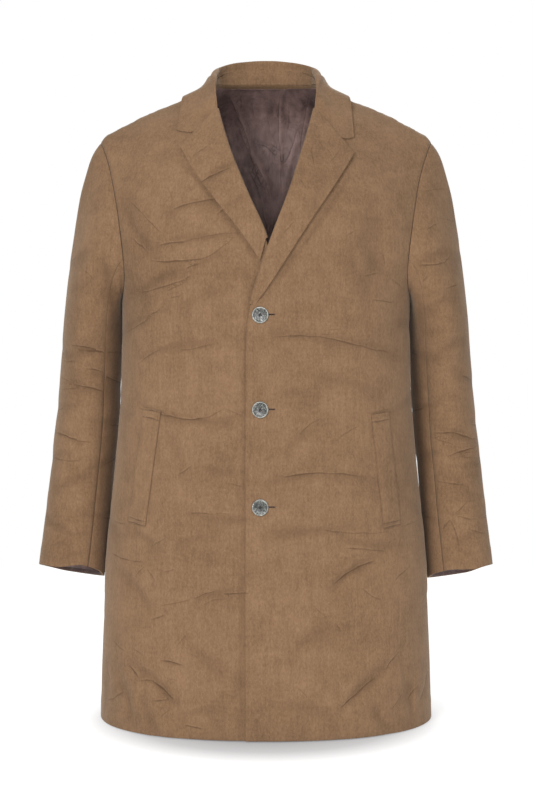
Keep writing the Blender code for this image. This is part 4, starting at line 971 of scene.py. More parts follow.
FINE_FACED_CREASES = [  # from spot to spot of the picture, bow in pixels, strength
    (203, 181, 217, 174, 0.5, 0.9), (217, 174, 228, 169, 0.3, 0.8), (194, 156, 206, 147, 0.5, 0.6),
    (312, 149, 314, 165, 0.0, 0.6), (301, 180, 307, 188, 0.0, 0.5), (210, 196, 222, 190, 0.5, 0.4),
    (332, 160, 340, 150, 0.0, 0.4), (284, 232, 292, 224, 0.0, 0.4),
    (222, 75, 262, 70, 0.8, 0.7), (262, 70, 310, 74, 1.2, 0.7),
]
print(len(listed(LAPEL_CREASES)), "creases on the lapels and", len(listed(COLLAR_CREASES)), "on the collar")

# %% Lapels and collar
FACED = {  # piece: the way it faces, its creases, and how high its soft waves are
    "lapel_left": ((0, -1, 0), LAPEL_CREASES, 0.0005),
    "lapel_right": ((0, -1, 0), LAPEL_CREASES, 0.0005),
    "collar": ((0, 0, 1), COLLAR_CREASES, 0.0005),
    "collar_stand": ((0, -1, 0), {}, 0.0004),
}
FACED_LEVELS = 3
FACED_WAVE = 0.040  # how long the soft waves are
FACED_SEED = 7.0
FACED_ROUNDING = 0.0007
PRESSED_EDGE = (0.0050, -0.0004)
STILL_EDGE = 0.004  # how far in from its edge a piece lies still
LAPEL_END = (0.014, -0.0030)  # how far up from its lowest point a lapel dives, and how deep
FULLER_COLLAR = (  # as for the shell: at the sides of the roll, and over the middle of the neck
    ((0.080, 0.000, 0.012), (0.018, 0.090, 0.015), 0.0062),
    ((0.000, 0.040, 0.042), (0.055, 0.060, 0.020), 0.0024),
)
COLLAR_EDGE = 0.012

for node, (towards, creases, wave_height) in FACED.items():
    piece = shown_side(node, towards, node, ROLL_RIM)
    refine(piece, FACED_LEVELS)
    points, ways = points_of(piece)
    from_edge = near(points, border_of(piece))
    out, shade = press(points, ways, listed(creases))
    out += ripple(points, FACED_WAVE, wave_height, FACED_SEED)
    out += PRESSED_EDGE[1] * bell(from_edge, PRESSED_EDGE[0])
    out *= soft(from_edge / STILL_EDGE)
    heights = points[:, 2]
    if "lapel" in node:
        out += LAPEL_END[1] * soft((heights.min() + LAPEL_END[0] - heights) / LAPEL_END[0])
    if node == "collar":
        out += fuller(points, FULLER_COLLAR) * soft(from_edge / COLLAR_EDGE)
    points = points + ways * out[:, None]
    move(piece, points)
    across, sharp = trace(points, ways, placed(FINE_FACED_CREASES, tree_of(piece)))
    # painted shade in the creases, and the fine lines' painted shade and light
    mark(piece, shade=shade, across=across, sharp=sharp)
    narrow(piece, HALF_SEAM)
    thicken(piece, CLOTH, FACED_ROUNDING)
    finished(piece, node + "_cloth", node)
    cloth[node] = piece

# %% [markdown]
# ## Linings
# Satin is thinner than the wool and a little too long for it, so it hangs in soft upright folds that
# run together towards the buttons. Only the side towards the wearer shows. The folds stand out into the
# hollow, never back into the wool. Down the sleeves the lining is a plain tube that shows at the cuff.

# %% Folds of the lining
LINING_FOLDS = {  # as for the body, with heights in place of depths
    "front": [
        (-0.0504, -0.014, -0.0305, -0.079, 0.003, 0.0045, 0.0030),
        (-0.0305, -0.079, 0.0030, -0.154, 0.003, 0.0050, 0.0032),
        (-0.0305, -0.055, 0.0060, -0.142, -0.003, 0.0035, 0.0024),
        (0.0225, -0.005, 0.0214, -0.072, 0.001, 0.0036, 0.0030),
        (0.0214, -0.072, 0.0244, -0.150, -0.001, 0.0040, 0.0028),
        (0.0534, -0.027, 0.0351, -0.116, 0.002, 0.0045, 0.0028),
        (0.0351, -0.116, 0.0150, -0.195, 0.002, 0.0050, 0.0028),
        (0.0656, -0.014, 0.0519, -0.079, 0.002, 0.0040, 0.0024),
        (-0.0092, -0.081, 0.0110, -0.101, 0.001, 0.0028, 0.0018),
        (-0.0412, -0.100, -0.0060, -0.195, 0.004, 0.0048, 0.0028),
        (0.0299, -0.003, 0.0420, -0.047, -0.001, 0.0036, 0.0022),
        (-0.0080, -0.020, -0.0040, -0.070, 0.001, 0.0060, 0.0014),
        (-0.0620, -0.040, -0.0480, -0.110, 0.002, 0.0050, 0.0026),
        (0.0020, -0.160, 0.0090, -0.250, 0.001, 0.0060, 0.0030),
        (0.0160, -0.175, 0.0120, -0.260, -0.001, 0.0050, 0.0026),
        (-0.1200, -0.120, -0.0700, -0.300, 0.006, 0.0090, 0.0040),
        (0.1150, -0.120, 0.0750, -0.320, -0.006, 0.0090, 0.0040),
        (-0.0500, -0.300, -0.0650, -0.600, 0.006, 0.0110, 0.0040),
        (0.0450, -0.330, 0.0500, -0.620, 0.006, 0.0110, 0.0040),
        (-0.1300, -0.420, -0.1400, -0.850, 0.006, 0.0120, 0.0045),
        (0.0000, -0.500, 0.0050, -0.880, 0.004, 0.0120, 0.0040),
        (0.1250, -0.450, 0.1350, -0.870, 0.006, 0.0120, 0.0045),
    ],
}
FINE_LINING_FOLDS = [  # from spot to spot of the picture, bow in pixels, strength
    (260, 145, 269, 149, 1.0, 0.9), (269, 149, 280, 157, -1.0, 0.9), (236, 115, 250, 152, 2.0, 0.9),
    (250, 152, 262, 187, -1.0, 1.0), (256, 165, 270, 199, 1.5, 0.8), (280, 96, 279, 140, -1.0, 0.9),
    (279, 140, 281, 187, 1.0, 0.9), (289, 107, 288, 128, 0.5, 0.7), (298, 128, 285, 163, 1.0, 0.9),
    (310, 94, 301, 150, -1.5, 0.8), (230, 99, 238, 117, 0.5, 0.9), (240, 131, 252, 159, -1.0, 0.7),
    (249, 171, 260, 197, 1.0, 0.7), (265, 178, 269, 194, 0.0, 0.9), (275, 216, 272, 236, 0.5, 0.8),
    (262, 208, 269, 236, -0.5, 0.7), (241, 99, 240, 112, 0.5, 0.6), (252, 104, 254, 117, -0.5, 0.6),
    (272, 144, 278, 150, 0.0, 0.8), (294, 175, 288, 197, 0.5, 0.7), (302, 100, 306, 108, 0.0, 0.8),
    (246, 121, 249, 128, 0.0, 0.5), (267, 118, 270, 131, 0.5, 0.5), (284, 205, 280, 222, 0.0, 0.6),
]
print(len(listed(LINING_FOLDS)), "folds of the lining, and", len(FINE_LINING_FOLDS), "fine ones")

# %% Lining of the body
LINING = 0.0012
LINING_LEVELS = 3
LINING_ROUNDING = 0.0003
FOLD_SHARE = 0.9  # how much of each fold's height stands
LINING_RISE = 0.0006
LONG_WAVES = (0.020, 0.0010, 2.0)
LONG_WAY = (1.6, 1.0, 0.5)  # the long waves are narrow across and stretched along the lining
SMALL_WAVES = (0.009, 0.0005, 4.0)
# painted shade under the collar stand and at spots under the collar's ends
TOP_SHADE = (0.0030, 2.4)  # reach and strength of the dark under the collar stand
PAINTED_SHADE_SPOTS = [(223, 98), (224, 108), (225, 118), (313, 96), (311, 104)]  # spots under the collar's ends
CORNER_SHADE = (0.014, 1.8)

lining = shown_side("back_lining", (0, -1, 0), "back_lining")
refine(lining, LINING_LEVELS)
points, ways = points_of(lining)
# the folds' crests are painted lighter, and the hollows beside them darker
out, shade = press(points, ways, listed(LINING_FOLDS))
out = out * FOLD_SHARE + ripple(points * LONG_WAY, *LONG_WAVES) + LINING_RISE
out = np.maximum(out + ripple(points, *SMALL_WAVES), 0.0)
lining_tree = tree_of(lining)
across, sharp = trace(points, ways, placed(FINE_LINING_FOLDS, lining_tree))
from_corners = near(points, [seen_at(lining_tree, *spot) for spot in PAINTED_SHADE_SPOTS])
shade += TOP_SHADE[1] * bell(points[:, 2].max() - points[:, 2], TOP_SHADE[0])
shade += CORNER_SHADE[1] * bell(from_corners, CORNER_SHADE[0])
move(lining, points + ways * out[:, None])
mark(lining, shade=shade, across=across, sharp=sharp)
thicken(lining, LINING, LINING_ROUNDING)
finished(lining, "back_lining_satin", "back_lining")
satins = {"back_lining": lining}

# %% Linings of the sleeves
TUBE_LEVELS = 2
TUBE_TURN = 0.060  # how far up the tube its hanging edge is felt
TUBE_DROP = 0.0045
TUBE_SHADE = 1.6

for node in ("sleeve_lining_left", "sleeve_lining_right"):
    tube = whole_wall(node, node)
    refine(tube, TUBE_LEVELS)
    points, ways = points_of(tube)
    low = 1.0 - soft((points[:, 2] - points[:, 2].min()) / TUBE_TURN)
    outwards = ways * np.sign(((points - points.mean(axis=0)) * ways)[:, 1])[:, None]
    points[:, 2] += low * (hang(points, outwards) - TUBE_DROP)
    move(tube, points)
    # painted shade inside the cuff, darkest at the tube's lower edge
    mark(tube, shade=low * TUBE_SHADE)
    only(tube)
    bpy.ops.object.shade_smooth()
    finished(tube, node + "_satin", node)
    satins[node] = tube

# %% [markdown]
# ## Pocket welts
# A welt is a folded strip that is sewn down along its sides and closed with two rows of stitches at
# each end. It follows the front that it lies on, so its sheet is crowned a little and pulled down at the
# edges, where the thread holds it. Its stitches need to know how it lies, and a frame node's own axes
# come from how its points are spread: a welt's longest spread is the way that it runs, and later a
# button faces along its narrowest.

# %% Welts
WELT_LEVELS = 4
WELT_THICKNESS = 0.0016
WELT_ROUNDING = 0.0004
WELT_HALF = (0.082, 0.0125)  # half its length and half its width
WELT_CROWN = (0.005, 0.0007, -0.0003)  # how soon it rises from its edge, how far, and where the edge lies
WELT_WAVES = (0.020, 0.0003, 9.0)
# reach and strength of the painted shade along the welt's edges
WELT_SHADE = (0.0016, 0.8)
ROWS_IN = ((-1, 0.0018), (-1, 0.0125), (1, 0.0018), (1, 0.0078))  # upper or lower end, and how far in


def spread(node):
    """A node's middle and its axes, from its longest to its narrowest."""
    spots = np.array([vertex.co for vertex in nodes[node].data.vertices])
    middle = (spots.min(axis=0) + spots.max(axis=0)) / 2
    axes = np.linalg.svd(spots - spots.mean(axis=0), full_matrices=False)[2]
    return middle, axes


def welt_row(node, end, inset):
    """The middle of a row of stitches on a welt, and the way the row runs."""
    middle, axes = spread(node)
    down, over = axes[0] * -np.sign(axes[0][2]), axes[1] * np.sign(axes[1][0])
    return middle + down * end * (WELT_HALF[0] - inset), over


for node in ("welt_left", "welt_right"):
    welt = shown_side(node, (0, -1, 0), node)
    refine(welt, WELT_LEVELS)
    points, ways = points_of(welt)
    from_edge = near(points, border_of(welt))
    rise, crown, sunk = WELT_CROWN
    out = crown * soft(from_edge / rise) + sunk + ripple(points, *WELT_WAVES)
    move(welt, points + ways * out[:, None])
    grooves = []
    for end, inset in ROWS_IN:
        spot, over = welt_row(node, end, inset)
        start, stop = spot - over * WELT_HALF[1], spot + over * WELT_HALF[1]
        grooves.append(("front", start[0], start[2], stop[0], stop[2], 0.0, 1.0))
    # each row of stitches is also drawn as a fine line: painted shade and light, with a bump
    across, sharp = trace(points, ways, grooves)
    mark(welt, shade=WELT_SHADE[1] * bell(from_edge, WELT_SHADE[0]), across=across, sharp=sharp)
    thicken(welt, WELT_THICKNESS, WELT_ROUNDING)
    finished(welt, node + "_cloth", node)
    cloth[node] = welt

# %% [markdown]
# ## Buttons
# A coat button is turned from a disc: a raised rim, a dished face and four drilled holes. One is
# modelled flat at the origin from a cylinder by insets, its edges are eased and its holes cut through,
# and then it is copied to each place, with the tilt that the frame's button has there.

# %% Turn one button
BUTTON_RADIUS = 0.0115
BUTTON_HEIGHT = 0.0034
TURNING = ((0.0020, 0.0), (0.0009, -0.0009), (0.0040, -0.0003))  # insets from the rim to the dish, and depths
EASED = 0.0005
EASED_ANGLE = math.radians(25)
FACES_UP = 0.9

bpy.ops.object.select_all(action="DESELECT")
bpy.ops.mesh.primitive_cylinder_add(
    vertices=64, radius=BUTTON_RADIUS, depth=BUTTON_HEIGHT, location=(0, 0, BUTTON_HEIGHT / 2)
)
button = bpy.context.object
pick(button, "faces", lambda face: face.normal.z > FACES_UP)
for width, depth in TURNING:
    bpy.ops.mesh.inset(thickness=width, depth=depth)
bpy.ops.object.mode_set(mode="OBJECT")
eased = button.modifiers.new("eased", "BEVEL")
eased.width = EASED
eased.segments = 3
eased.angle_limit = EASED_ANGLE
bpy.ops.object.modifier_apply(modifier=eased.name)
print("the turned disc has", len(button.data.polygons), "faces")

# %% Drill its holes
HOLE_OUT = 0.0017
HOLE_RADIUS = 0.00095
HOLE_TURNS = (45, 135, 225, 315)
DRILL_LENGTH = 0.02
SMOOTH_ANGLE = math.radians(30)

for turn in HOLE_TURNS:
    across = HOLE_OUT * math.cos(math.radians(turn))
    up = HOLE_OUT * math.sin(math.radians(turn))
    bpy.ops.mesh.primitive_cylinder_add(
        vertices=20, radius=HOLE_RADIUS, depth=DRILL_LENGTH, location=(across, up, 0))
    drill = bpy.context.object
    only(button)
    hole = button.modifiers.new("hole", "BOOLEAN")
    hole.object = drill
    bpy.ops.object.modifier_apply(modifier=hole.name)
    bpy.data.objects.remove(drill)
only(button)
bpy.ops.object.shade_smooth_by_angle(angle=SMOOTH_ANGLE)
mark(button, rim=[min(math.hypot(*spot.co.xy) / BUTTON_RADIUS, 1.0) for spot in button.data.vertices])
print("one button has", len(button.data.polygons), "faces")

# %% [markdown]
# ## Where things lie on the cloth
# Buttons, stitches and buttonholes are placed by where they show from the front, and must still sit on
# the pressed cloth. A ray from the front finds the cloth's point and facing there.

# %% Place the buttons
BUTTON_OFF = 0.0006
BUTTON_TURN = math.radians(9)  # each is turned a little further than the one before
trees = {}
button_places = []


def lay_on(node, across, up):
    """The cloth's point and the way it faces, where a ray from the front meets it."""
    if node not in trees:
        trees[node] = tree_of(cloth[node])
    point, way, _, _ = trees[node].ray_cast(Vector((across, -1.0, up)), Vector((0, 1, 0)))
    return point, way


for number in (1, 2, 3):
    node = f"button_{number}"
    middle, axes = spread(node)
    facing = Vector(axes[2] * -np.sign(axes[2][1]))
    point, _ = lay_on("front_left", middle[0], middle[2])
    turned = facing.to_track_quat("Z", "Y").to_matrix() @ Matrix.Rotation(BUTTON_TURN * number, 3, "Z")
    place = Matrix.Translation(point + facing * BUTTON_OFF) @ turned.to_4x4()
    made = bpy.data.objects.new(node + "_horn", button.data.copy())
    made.data.transform(place)
    bpy.context.scene.collection.objects.link(made)
    finished(made, node + "_horn", node)
    button_places.append((place, middle, facing))
bpy.data.objects.remove(button)

# %% [markdown]
# ## Thread
# Every stitch is a short strand that rises out of the cloth and dips back into it. One is made from a
# thin cylinder, cut into rings, with its ends bent down, and then laid again and again along a seam.

# %% One stitch
def one_stitch():
    """A strand of length 1 along X and thickness 1."""
    bpy.ops.object.select_all(action="DESELECT")
    bpy.ops.mesh.primitive_cylinder_add(vertices=6, radius=0.5, depth=1.0, rotation=(0, math.radians(90), 0))
    strand = bpy.context.object
    bpy.ops.object.transform_apply(location=False, rotation=True, scale=False)
    pick(strand, "edges", lambda edge: abs(edge.verts[0].co.x - edge.verts[1].co.x) > 0.9)
    bpy.ops.mesh.subdivide(number_cuts=3)
    bpy.ops.object.mode_set(mode="OBJECT")
    strand_points = np.array([spot.co for spot in strand.data.vertices])
    faces = [tuple(face.vertices) for face in strand.data.polygons]
    bpy.data.objects.remove(strand)
    return strand_points, faces


STITCH_POINTS, STITCH_FACES = one_stitch()
print("one stitch has", len(STITCH_FACES), "faces")

# %% Rows of stitches
STITCH_DIP = 0.9  # how far a stitch's ends bend down, in its thickness


def sew(name, places, thickness):
    """A row of stitches: each place gives its middle, the way it runs, the way out, and its length."""
    spots, faces = [], []
    for middle, run, out, length in places:
        middle, run, out = Vector(middle), Vector(run).normalized(), Vector(out).normalized()
        beside = out.cross(run).normalized()
        out = run.cross(beside)
        first = len(spots)
        for x, y, z in STITCH_POINTS:
            height = (z - (2 * x) ** 4 * STITCH_DIP) * thickness
            spots.append(middle + run * x * length + beside * y * thickness + out * height)
        faces += [tuple(first + k for k in face) for face in STITCH_FACES]
    mesh = bpy.data.meshes.new(name)
    mesh.from_pydata(spots, [], faces)
    mesh.update()
    row = bpy.data.objects.new(name, mesh)
    bpy.context.scene.collection.objects.link(row)
    edit_all(row, (bpy.ops.mesh.normals_make_consistent, {"inside": False}))
    bpy.ops.object.shade_smooth()
    finished(row, name)
    return row


print("a stitch has", len(STITCH_POINTS), "points, and its ends dip by", STITCH_DIP, "of its thickness")

# %% [markdown]
# ## Stitches on the welts
# Two rows close each end of a pocket: one along the very end of the welt and one a finger's width
# further in. They run straight across, so each stitch's place comes from the welt's own long axis.

# %% Stitch the welts
WELT_THREAD = 0.0006
STITCH_STEP = 0.0027
STITCH_SHARE = 0.88  # how much of a step the stitch fills
STITCHES_BESIDE = 4  # on each side of a row's middle one
welt_rows = []
for node in ("welt_left", "welt_right"):
    places = []
    for end, inset in ROWS_IN:
        middle, over = welt_row(node, end, inset)
        for step in np.arange(-STITCHES_BESIDE, STITCHES_BESIDE + 1) * STITCH_STEP:
            spot = middle + over * step
            point, way = lay_on(node, spot[0], spot[2])
            if point is not None:
                places.append((point, over, way, STITCH_STEP * STITCH_SHARE))
    welt_rows.append(sew(node + "_stitches", places, WELT_THREAD))

# %% [markdown]
# ## Buttonholes
# The buttonhole runs level behind its button and shows for nearly a centimetre on the wearer's left.
# It is a slit with whipped edges: a narrow opening painted dark as the shade inside it, and close stitches
# across each of its lips.

# %% Whip a buttonhole
SLIT_FROM, SLIT_TO = -0.002, 0.0200
SLIT_ABOVE = 0.0006  # how far above its button's middle a buttonhole lies
LIP = 0.0008
LIP_OUT = 1.2  # how far out on its lip a stitch lies
WHIP_STEP = 0.00062
WHIP_LENGTH = 0.0017
WHIP_SUNK = 0.00005
WHIP_THREAD = 0.0006
END_WHIPS = 7


def stadium(middle):
    """Places round a level slit: across, up, and the way out of it."""
    turns = np.radians(np.linspace(-90, 90, END_WHIPS))
    round_end = [(SLIT_TO, np.array([math.cos(turn), math.sin(turn)])) for turn in turns]
    run = np.arange(SLIT_TO - WHIP_STEP, SLIT_FROM, -WHIP_STEP)
    upper = [(along, np.array([0.0, 1.0])) for along in run]
    lower = [(along, np.array([0.0, -1.0])) for along in run[::-1]]
    return [(middle[0] + along, middle[1], away) for along, away in lower + round_end + upper]


def whipped(number, middle):
    """The stitches round the buttonhole of one button."""
    places = []
    for across, up, away in stadium((middle[0], middle[2] + SLIT_ABOVE)):
        point, way = lay_on("front_left", across + away[0] * LIP * LIP_OUT, up + away[1] * LIP * LIP_OUT)
        places.append((point - way * WHIP_SUNK, Vector((away[0], 0, away[1])), way, WHIP_LENGTH))
    return sew(f"buttonhole_{number}_thread", places, WHIP_THREAD)


print(len(stadium((0.0, 0.0))), "stitches go round each buttonhole")

# %% Open the slits
SLIT_HALF = 0.75  # half the slit's width, in lips
SLIT_POINT = 0.96  # from here on it narrows to its end
SLIT_OFF = (0.00018, 0.0001)  # how far its middle stands off the cloth, and how much lower its sides lie
SLIT_THICKNESS = 0.0004
SLIT_ROUNDING = 0.00005


def slit_of(number, middle):
    """The opening of one buttonhole, a thin sheet laid on the cloth and painted dark as its shade."""
    bpy.ops.object.select_all(action="DESELECT")
    bpy.ops.mesh.primitive_grid_add(x_subdivisions=24, y_subdivisions=2, size=1)
    slit = bpy.context.object
    spots = []
    for spot in slit.data.vertices:
        share = spot.co.x + 0.5
        across = middle[0] + SLIT_FROM + (SLIT_TO - SLIT_FROM + LIP / 2) * share
        narrowed = math.sqrt(max(1.0 - max(share - SLIT_POINT, 0.0) / (1.0 - SLIT_POINT), 0.0))
        up = middle[2] + SLIT_ABOVE + spot.co.y * 2 * LIP * SLIT_HALF * narrowed
        point, way = lay_on("front_left", across, up)
        spots.append(point + way * (SLIT_OFF[0] - SLIT_OFF[1] * abs(spot.co.y)))
    for spot, place in zip(slit.data.vertices, spots):
        spot.co = place
    thicken(slit, SLIT_THICKNESS, SLIT_ROUNDING)
    finished(slit, f"buttonhole_{number}_slit")
    return slit


whips, slits = [], []
for number, (_, middle, _) in enumerate(button_places, 1):
    whips.append(whipped(number, middle))
    slits.append(slit_of(number, middle))

# %% [markdown]
# ## Sewn-on buttons
# Thread goes up through one hole, over the middle and down through the one across, three times each
# way, so that a small cross shows. Behind the button it is wound into a short shank.

# %% Sew the buttons on
DISH_TOP = BUTTON_HEIGHT - 0.0011
CROSS_RISE = 0.0003  # the second way of the cross lies this far above the first
STRAND_STEP = 0.00042
STRAND_CROWN = 0.00008  # how much higher the middle strand of three lies
STRAND_LENGTH = 2 * HOLE_OUT + 0.0012
SHANK_WINDS = 10
SHANK_RADIUS = 0.0016
SHANK_DROP = 0.0003
SHANK_SLANT = 0.15
SHANK_STRAND = 0.0012
BUTTON_THREAD = 0.00055
button_threads = []
for number, (place, _, facing) in enumerate(button_places, 1):
    strands, turned = [], place.to_3x3()
    for rise, turn in enumerate(HOLE_TURNS[:2], 1):
        run = Vector((math.cos(math.radians(turn)), math.sin(math.radians(turn)), 0))
        beside = Vector((-run.y, run.x, 0))
        for side in (-1, 0, 1):
            height = DISH_TOP + CROSS_RISE * rise + STRAND_CROWN * (1 - abs(side))
            middle = beside * side * STRAND_STEP + Vector((0, 0, height))
            strands.append((place @ middle, turned @ run, facing, STRAND_LENGTH))
    for wind in range(SHANK_WINDS):
        turn = math.radians(360 / SHANK_WINDS * wind)
        out = Vector((math.cos(turn), math.sin(turn), 0))
        run = Vector((-out.y, out.x, SHANK_SLANT))
        middle = out * SHANK_RADIUS - Vector((0, 0, SHANK_DROP))
        strands.append((place @ middle, turned @ run, turned @ out, SHANK_STRAND))
    button_threads.append(sew(f"button_{number}_thread", strands, BUTTON_THREAD))

# %% [markdown]
# ## A small language for finishes
# A material is arithmetic on patterns. Written as nodes by hand it is long, so one class holds a
# material and makes any node in it, and another wraps a socket and lets Python's own signs add the
# Math nodes. Only what really varies over the cloth is made this way.

# %% A value on a surface
class Value:
    """A number or a colour that varies over a surface."""

    def __init__(self, finish, socket):
        self.finish, self.socket = finish, socket

    def reckon(self, operation, first, second):
        return self.finish.node("ShaderNodeMath", {"operation": operation}, {0: first, 1: second})

    def __add__(self, other):
        return self.reckon("ADD", self, other)

    def __sub__(self, other):
        return self.reckon("SUBTRACT", self, other)

    def __rsub__(self, other):
        return self.reckon("SUBTRACT", other, self)

    def __mul__(self, other):
        return self.reckon("MULTIPLY", self, other)

    __radd__, __rmul__ = __add__, __mul__

    def clamped(self):
        return self.finish.node("ShaderNodeClamp", {}, {0: self})


print("a value can be added, subtracted, multiplied and clamped")

# %% A finish
def full(colour):
    """A colour or a grey, with all four of its numbers."""
    return (*colour, 1.0) if isinstance(colour, tuple) else (colour, colour, colour, 1.0)


class Finish:
    """A material, or the world that a scene wears, and its nodes."""

    def __init__(self, name, worn_by=None, shader="Principled BSDF", **surface):
        self.material = worn_by or bpy.data.materials.new(name)
        self.material.use_nodes = True
        self.tree = self.material.node_tree
        self.shader = self.tree.nodes[shader]
        for socket, value in surface.items():
            self.shader.inputs[socket.replace("_", " ")].default_value = value

    def node(self, kind, settings, sockets, output=0):
        """Any node, with its settings first and then the values or links of its sockets."""
        made = self.tree.nodes.new(kind)
        for name, value in settings.items():
            if name == "stops":
                ramp = made.color_ramp
                while len(ramp.elements) < len(value):
                    ramp.elements.new(0.5)
                for stop, (place, colour) in zip(ramp.elements, value):
                    stop.position, stop.color = place, full(colour)
            else:
                setattr(made, name, value)
        for name, value in sockets.items():
            if isinstance(value, Value):
                self.tree.links.new(value.socket, made.inputs[name])
            else:
                made.inputs[name].default_value = value
        return Value(self, made.outputs[output])

    def stretched(self, scale, shift=(0.0, 0.0, 0.0)):
        """Object coordinates, stretched and shifted."""
        place = self.node("ShaderNodeTexCoord", {}, {}, "Object")
        return self.node("ShaderNodeMapping", {}, {"Vector": place, "Scale": scale, "Location": shift})

    def noise(self, scale, detail=2.0, roughness=0.5, stretch=(1.0, 1.0, 1.0), distortion=0.0):
        return self.node("ShaderNodeTexNoise", {}, {
            "Vector": self.stretched(stretch), "Scale": scale, "Detail": detail, "Roughness": roughness,
            "Distortion": distortion,
        })

    def kept(self, name):
        """A number that was marked on the piece's points."""
        return self.node("ShaderNodeAttribute", {"attribute_name": name}, {}, "Fac")

    def ramp(self, stops, place):
        return self.node("ShaderNodeValToRGB", {"stops": stops}, {0: place})

    def mix(self, share, *colours):
        """A colour between two, each plain or varying."""
        first, second = (one if isinstance(one, Value) else full(one) for one in colours)
        return self.node("ShaderNodeMix", {"data_type": "RGBA"}, {0: share, 6: first, 7: second}, 2)

    def feed(self, socket, value):
        self.tree.links.new(value.socket, self.shader.inputs[socket])

    def colour(self, value):
        self.feed("Base Color", value)

    def rough(self, value):
        self.feed("Roughness", value)

    def bump(self, height, strength, distance):
        sockets = {"Height": height, "Strength": strength, "Distance": distance}
        self.feed("Normal", self.node("ShaderNodeBump", {}, sockets))


print("a plain grey of 0.5 is written", full(0.5))

# %% [markdown]
# ## What both cloths have
# Wool and satin are each a few noises laid over one another, some of them stretched along a thread, and
# both show the fine creases. A crease's line is a profile across it: painted shade in its fold and
# painted light on the edge beside it, drawn from the distance that each point keeps.

# %% Weave and fine lines
LINE_HALF = 4.0  # a fine line is drawn up to this many millimetres from its middle
# below 0.5 is painted shade and above it painted light
CREASE_PROFILE = (  # across a fine line, from that far before it to as far past it; 0.5 is flat
    (0.00, 0.50), (0.32, 0.46), (0.44, 0.22), (0.50, 0.0),
    (0.56, 0.25), (0.66, 0.66), (0.76, 0.62), (1.00, 0.50),
)


def woven(finish, patterns):
    """Noises by name, their weighed tone round one half, and their weighed height."""
    made, tone, height = {}, 0.5, 0.0
    for name, (tone_weight, height_weight, *form) in patterns.items():
        made[name] = finish.noise(*form)
        tone = (made[name] - 0.5) * tone_weight + tone
        if height_weight:
            height = made[name] * height_weight + height
    return made, tone, height


def fine_line(finish):
    """How much painted shade or painted light the nearest fine line gives a point."""
    profile = finish.ramp(CREASE_PROFILE, finish.kept("across") * (0.5 / LINE_HALF) + 0.5)
    return (profile - 0.5) * finish.kept("sharp")


print("a fine line is drawn", 2 * LINE_HALF, "mm wide, with", len(CREASE_PROFILE), "stops across it")

# %% [markdown]
# ## The wool's finish
# Melton for coats is milled and brushed until a short nap hides its weave. Up close it is a felt of
# fine fibres that mostly lie downwards. From a step away it is mottled, where hands and folds have
# brushed it, with faint upright and level streaks from the weave beneath. A sheen at glancing angles
# stands for the fibres' tips.

# %% Wool
WOOL_DARK = (0.130, 0.074, 0.039)
WOOL_LIGHT = (0.222, 0.132, 0.073)
# the colour that painted shade darkens the wool towards, in creases, along seams and in fine lines
WOOL_PAINTED_SHADE = (0.085, 0.046, 0.024)
WOOL_SHEEN = (1.0, 0.86, 0.70)
WOOL_PATTERNS = {  # name: weight in the tone and in the height, then scale, detail, roughness and stretch
    "fibres": (1.00, 0.5, 1500.0, 2.0, 0.60, (1.0, 1.0, 0.30)),
    "tufts": (1.35, 0.8, 420.0, 3.0, 0.60, (1.0, 1.0, 0.55)),
    "upright": (0.60, 0.3, 260.0, 2.0, 0.50, (1.0, 1.0, 0.10)),
    "level": (0.25, 0.0, 260.0, 2.0, 0.50, (0.12, 0.12, 1.0)),
    "mottle": (1.05, 0.8, 34.0, 4.0, 0.62),
    "broad": (0.80, 0.0, 7.0, 2.0, 0.50),
}
# a fine line's share in the wear is painted shade in its fold, and its share in the tone paints shade and
# light
WOOL_LINE = (0.8, 1.6, 2.4)  # how much a fine line counts in the tone, in the wear and in the height
# the nap's bent look is painted shade: where a crease or seam keeps shade, the wool is painted darker
WOOL_SHADE_SHARE = 0.38  # how worn the nap looks where it is bent
WOOL_ROUGH = (0.96, 0.12)  # how rough it is, and how much less so on a tuft
WOOL_BUMP = (0.55, 0.0006)  # strength and height

wool = Finish(
    "wool", Sheen_Weight=0.22, Sheen_Roughness=0.45, Sheen_Tint=full(WOOL_SHEEN), Specular_IOR_Level=0.15)
nap, tone, nap_height = woven(wool, WOOL_PATTERNS)
line = fine_line(wool)
in_tone, in_painted_shade, in_height = WOOL_LINE
# the tone carries the fine lines' painted shade and light on top of its own mottle
brushed_and_line_shaded = wool.mix((tone.clamped() + line * in_tone).clamped(), WOOL_DARK, WOOL_LIGHT)
# painted shade: the kept shade and the fine lines darken the wool
wool.colour(wool.mix((wool.kept("shade") * WOOL_SHADE_SHARE - line * in_painted_shade).clamped(), brushed_and_line_shaded, WOOL_PAINTED_SHADE))
wool.rough(WOOL_ROUGH[0] - nap["tufts"] * WOOL_ROUGH[1])
wool.bump(nap_height + line * in_height, *WOOL_BUMP)
print("the wool has", len(wool.tree.nodes), "nodes")

# %% [markdown]
# ## The satin's finish
# Satin floats its warp over the surface, so it shines along its folds and has hardly any texture. A
# fine upright line gives the warp. A slow change of tone shows where it has rubbed matt, and a finer
# one the crumpling between its folds. Its fine fold lines are painted light and shade, and it is
# painted darker where shade falls: beside its folds, under the collar and inside the cuffs.

# %% Satin
SATIN_DARK = (0.100, 0.062, 0.056)
SATIN_LIGHT = (0.270, 0.175, 0.158)
SATIN_PATTERNS = {  # as for the wool, with distortion last
    "warp": (0.5, 0.3, 900.0, 1.0, 0.50, (1.0, 1.0, 0.04)),
    "rubbed": (1.0, 1.0, 26.0, 3.0, 0.60),
    "crumpled": (1.5, 0.8, 95.0, 4.0, 0.65, (1.0, 1.0, 0.7), 0.6),
}
SATIN_LINE = (1.2, 2.6)  # how much a fine line counts in the tone and in the height
SATIN_SHADED = 0.25  # how much darker it is in full shade
SATIN_ROUGH = (0.50, 0.22)  # how rough it is, and how much more so where it has rubbed
SATIN_BUMP = (0.45, 0.0008)

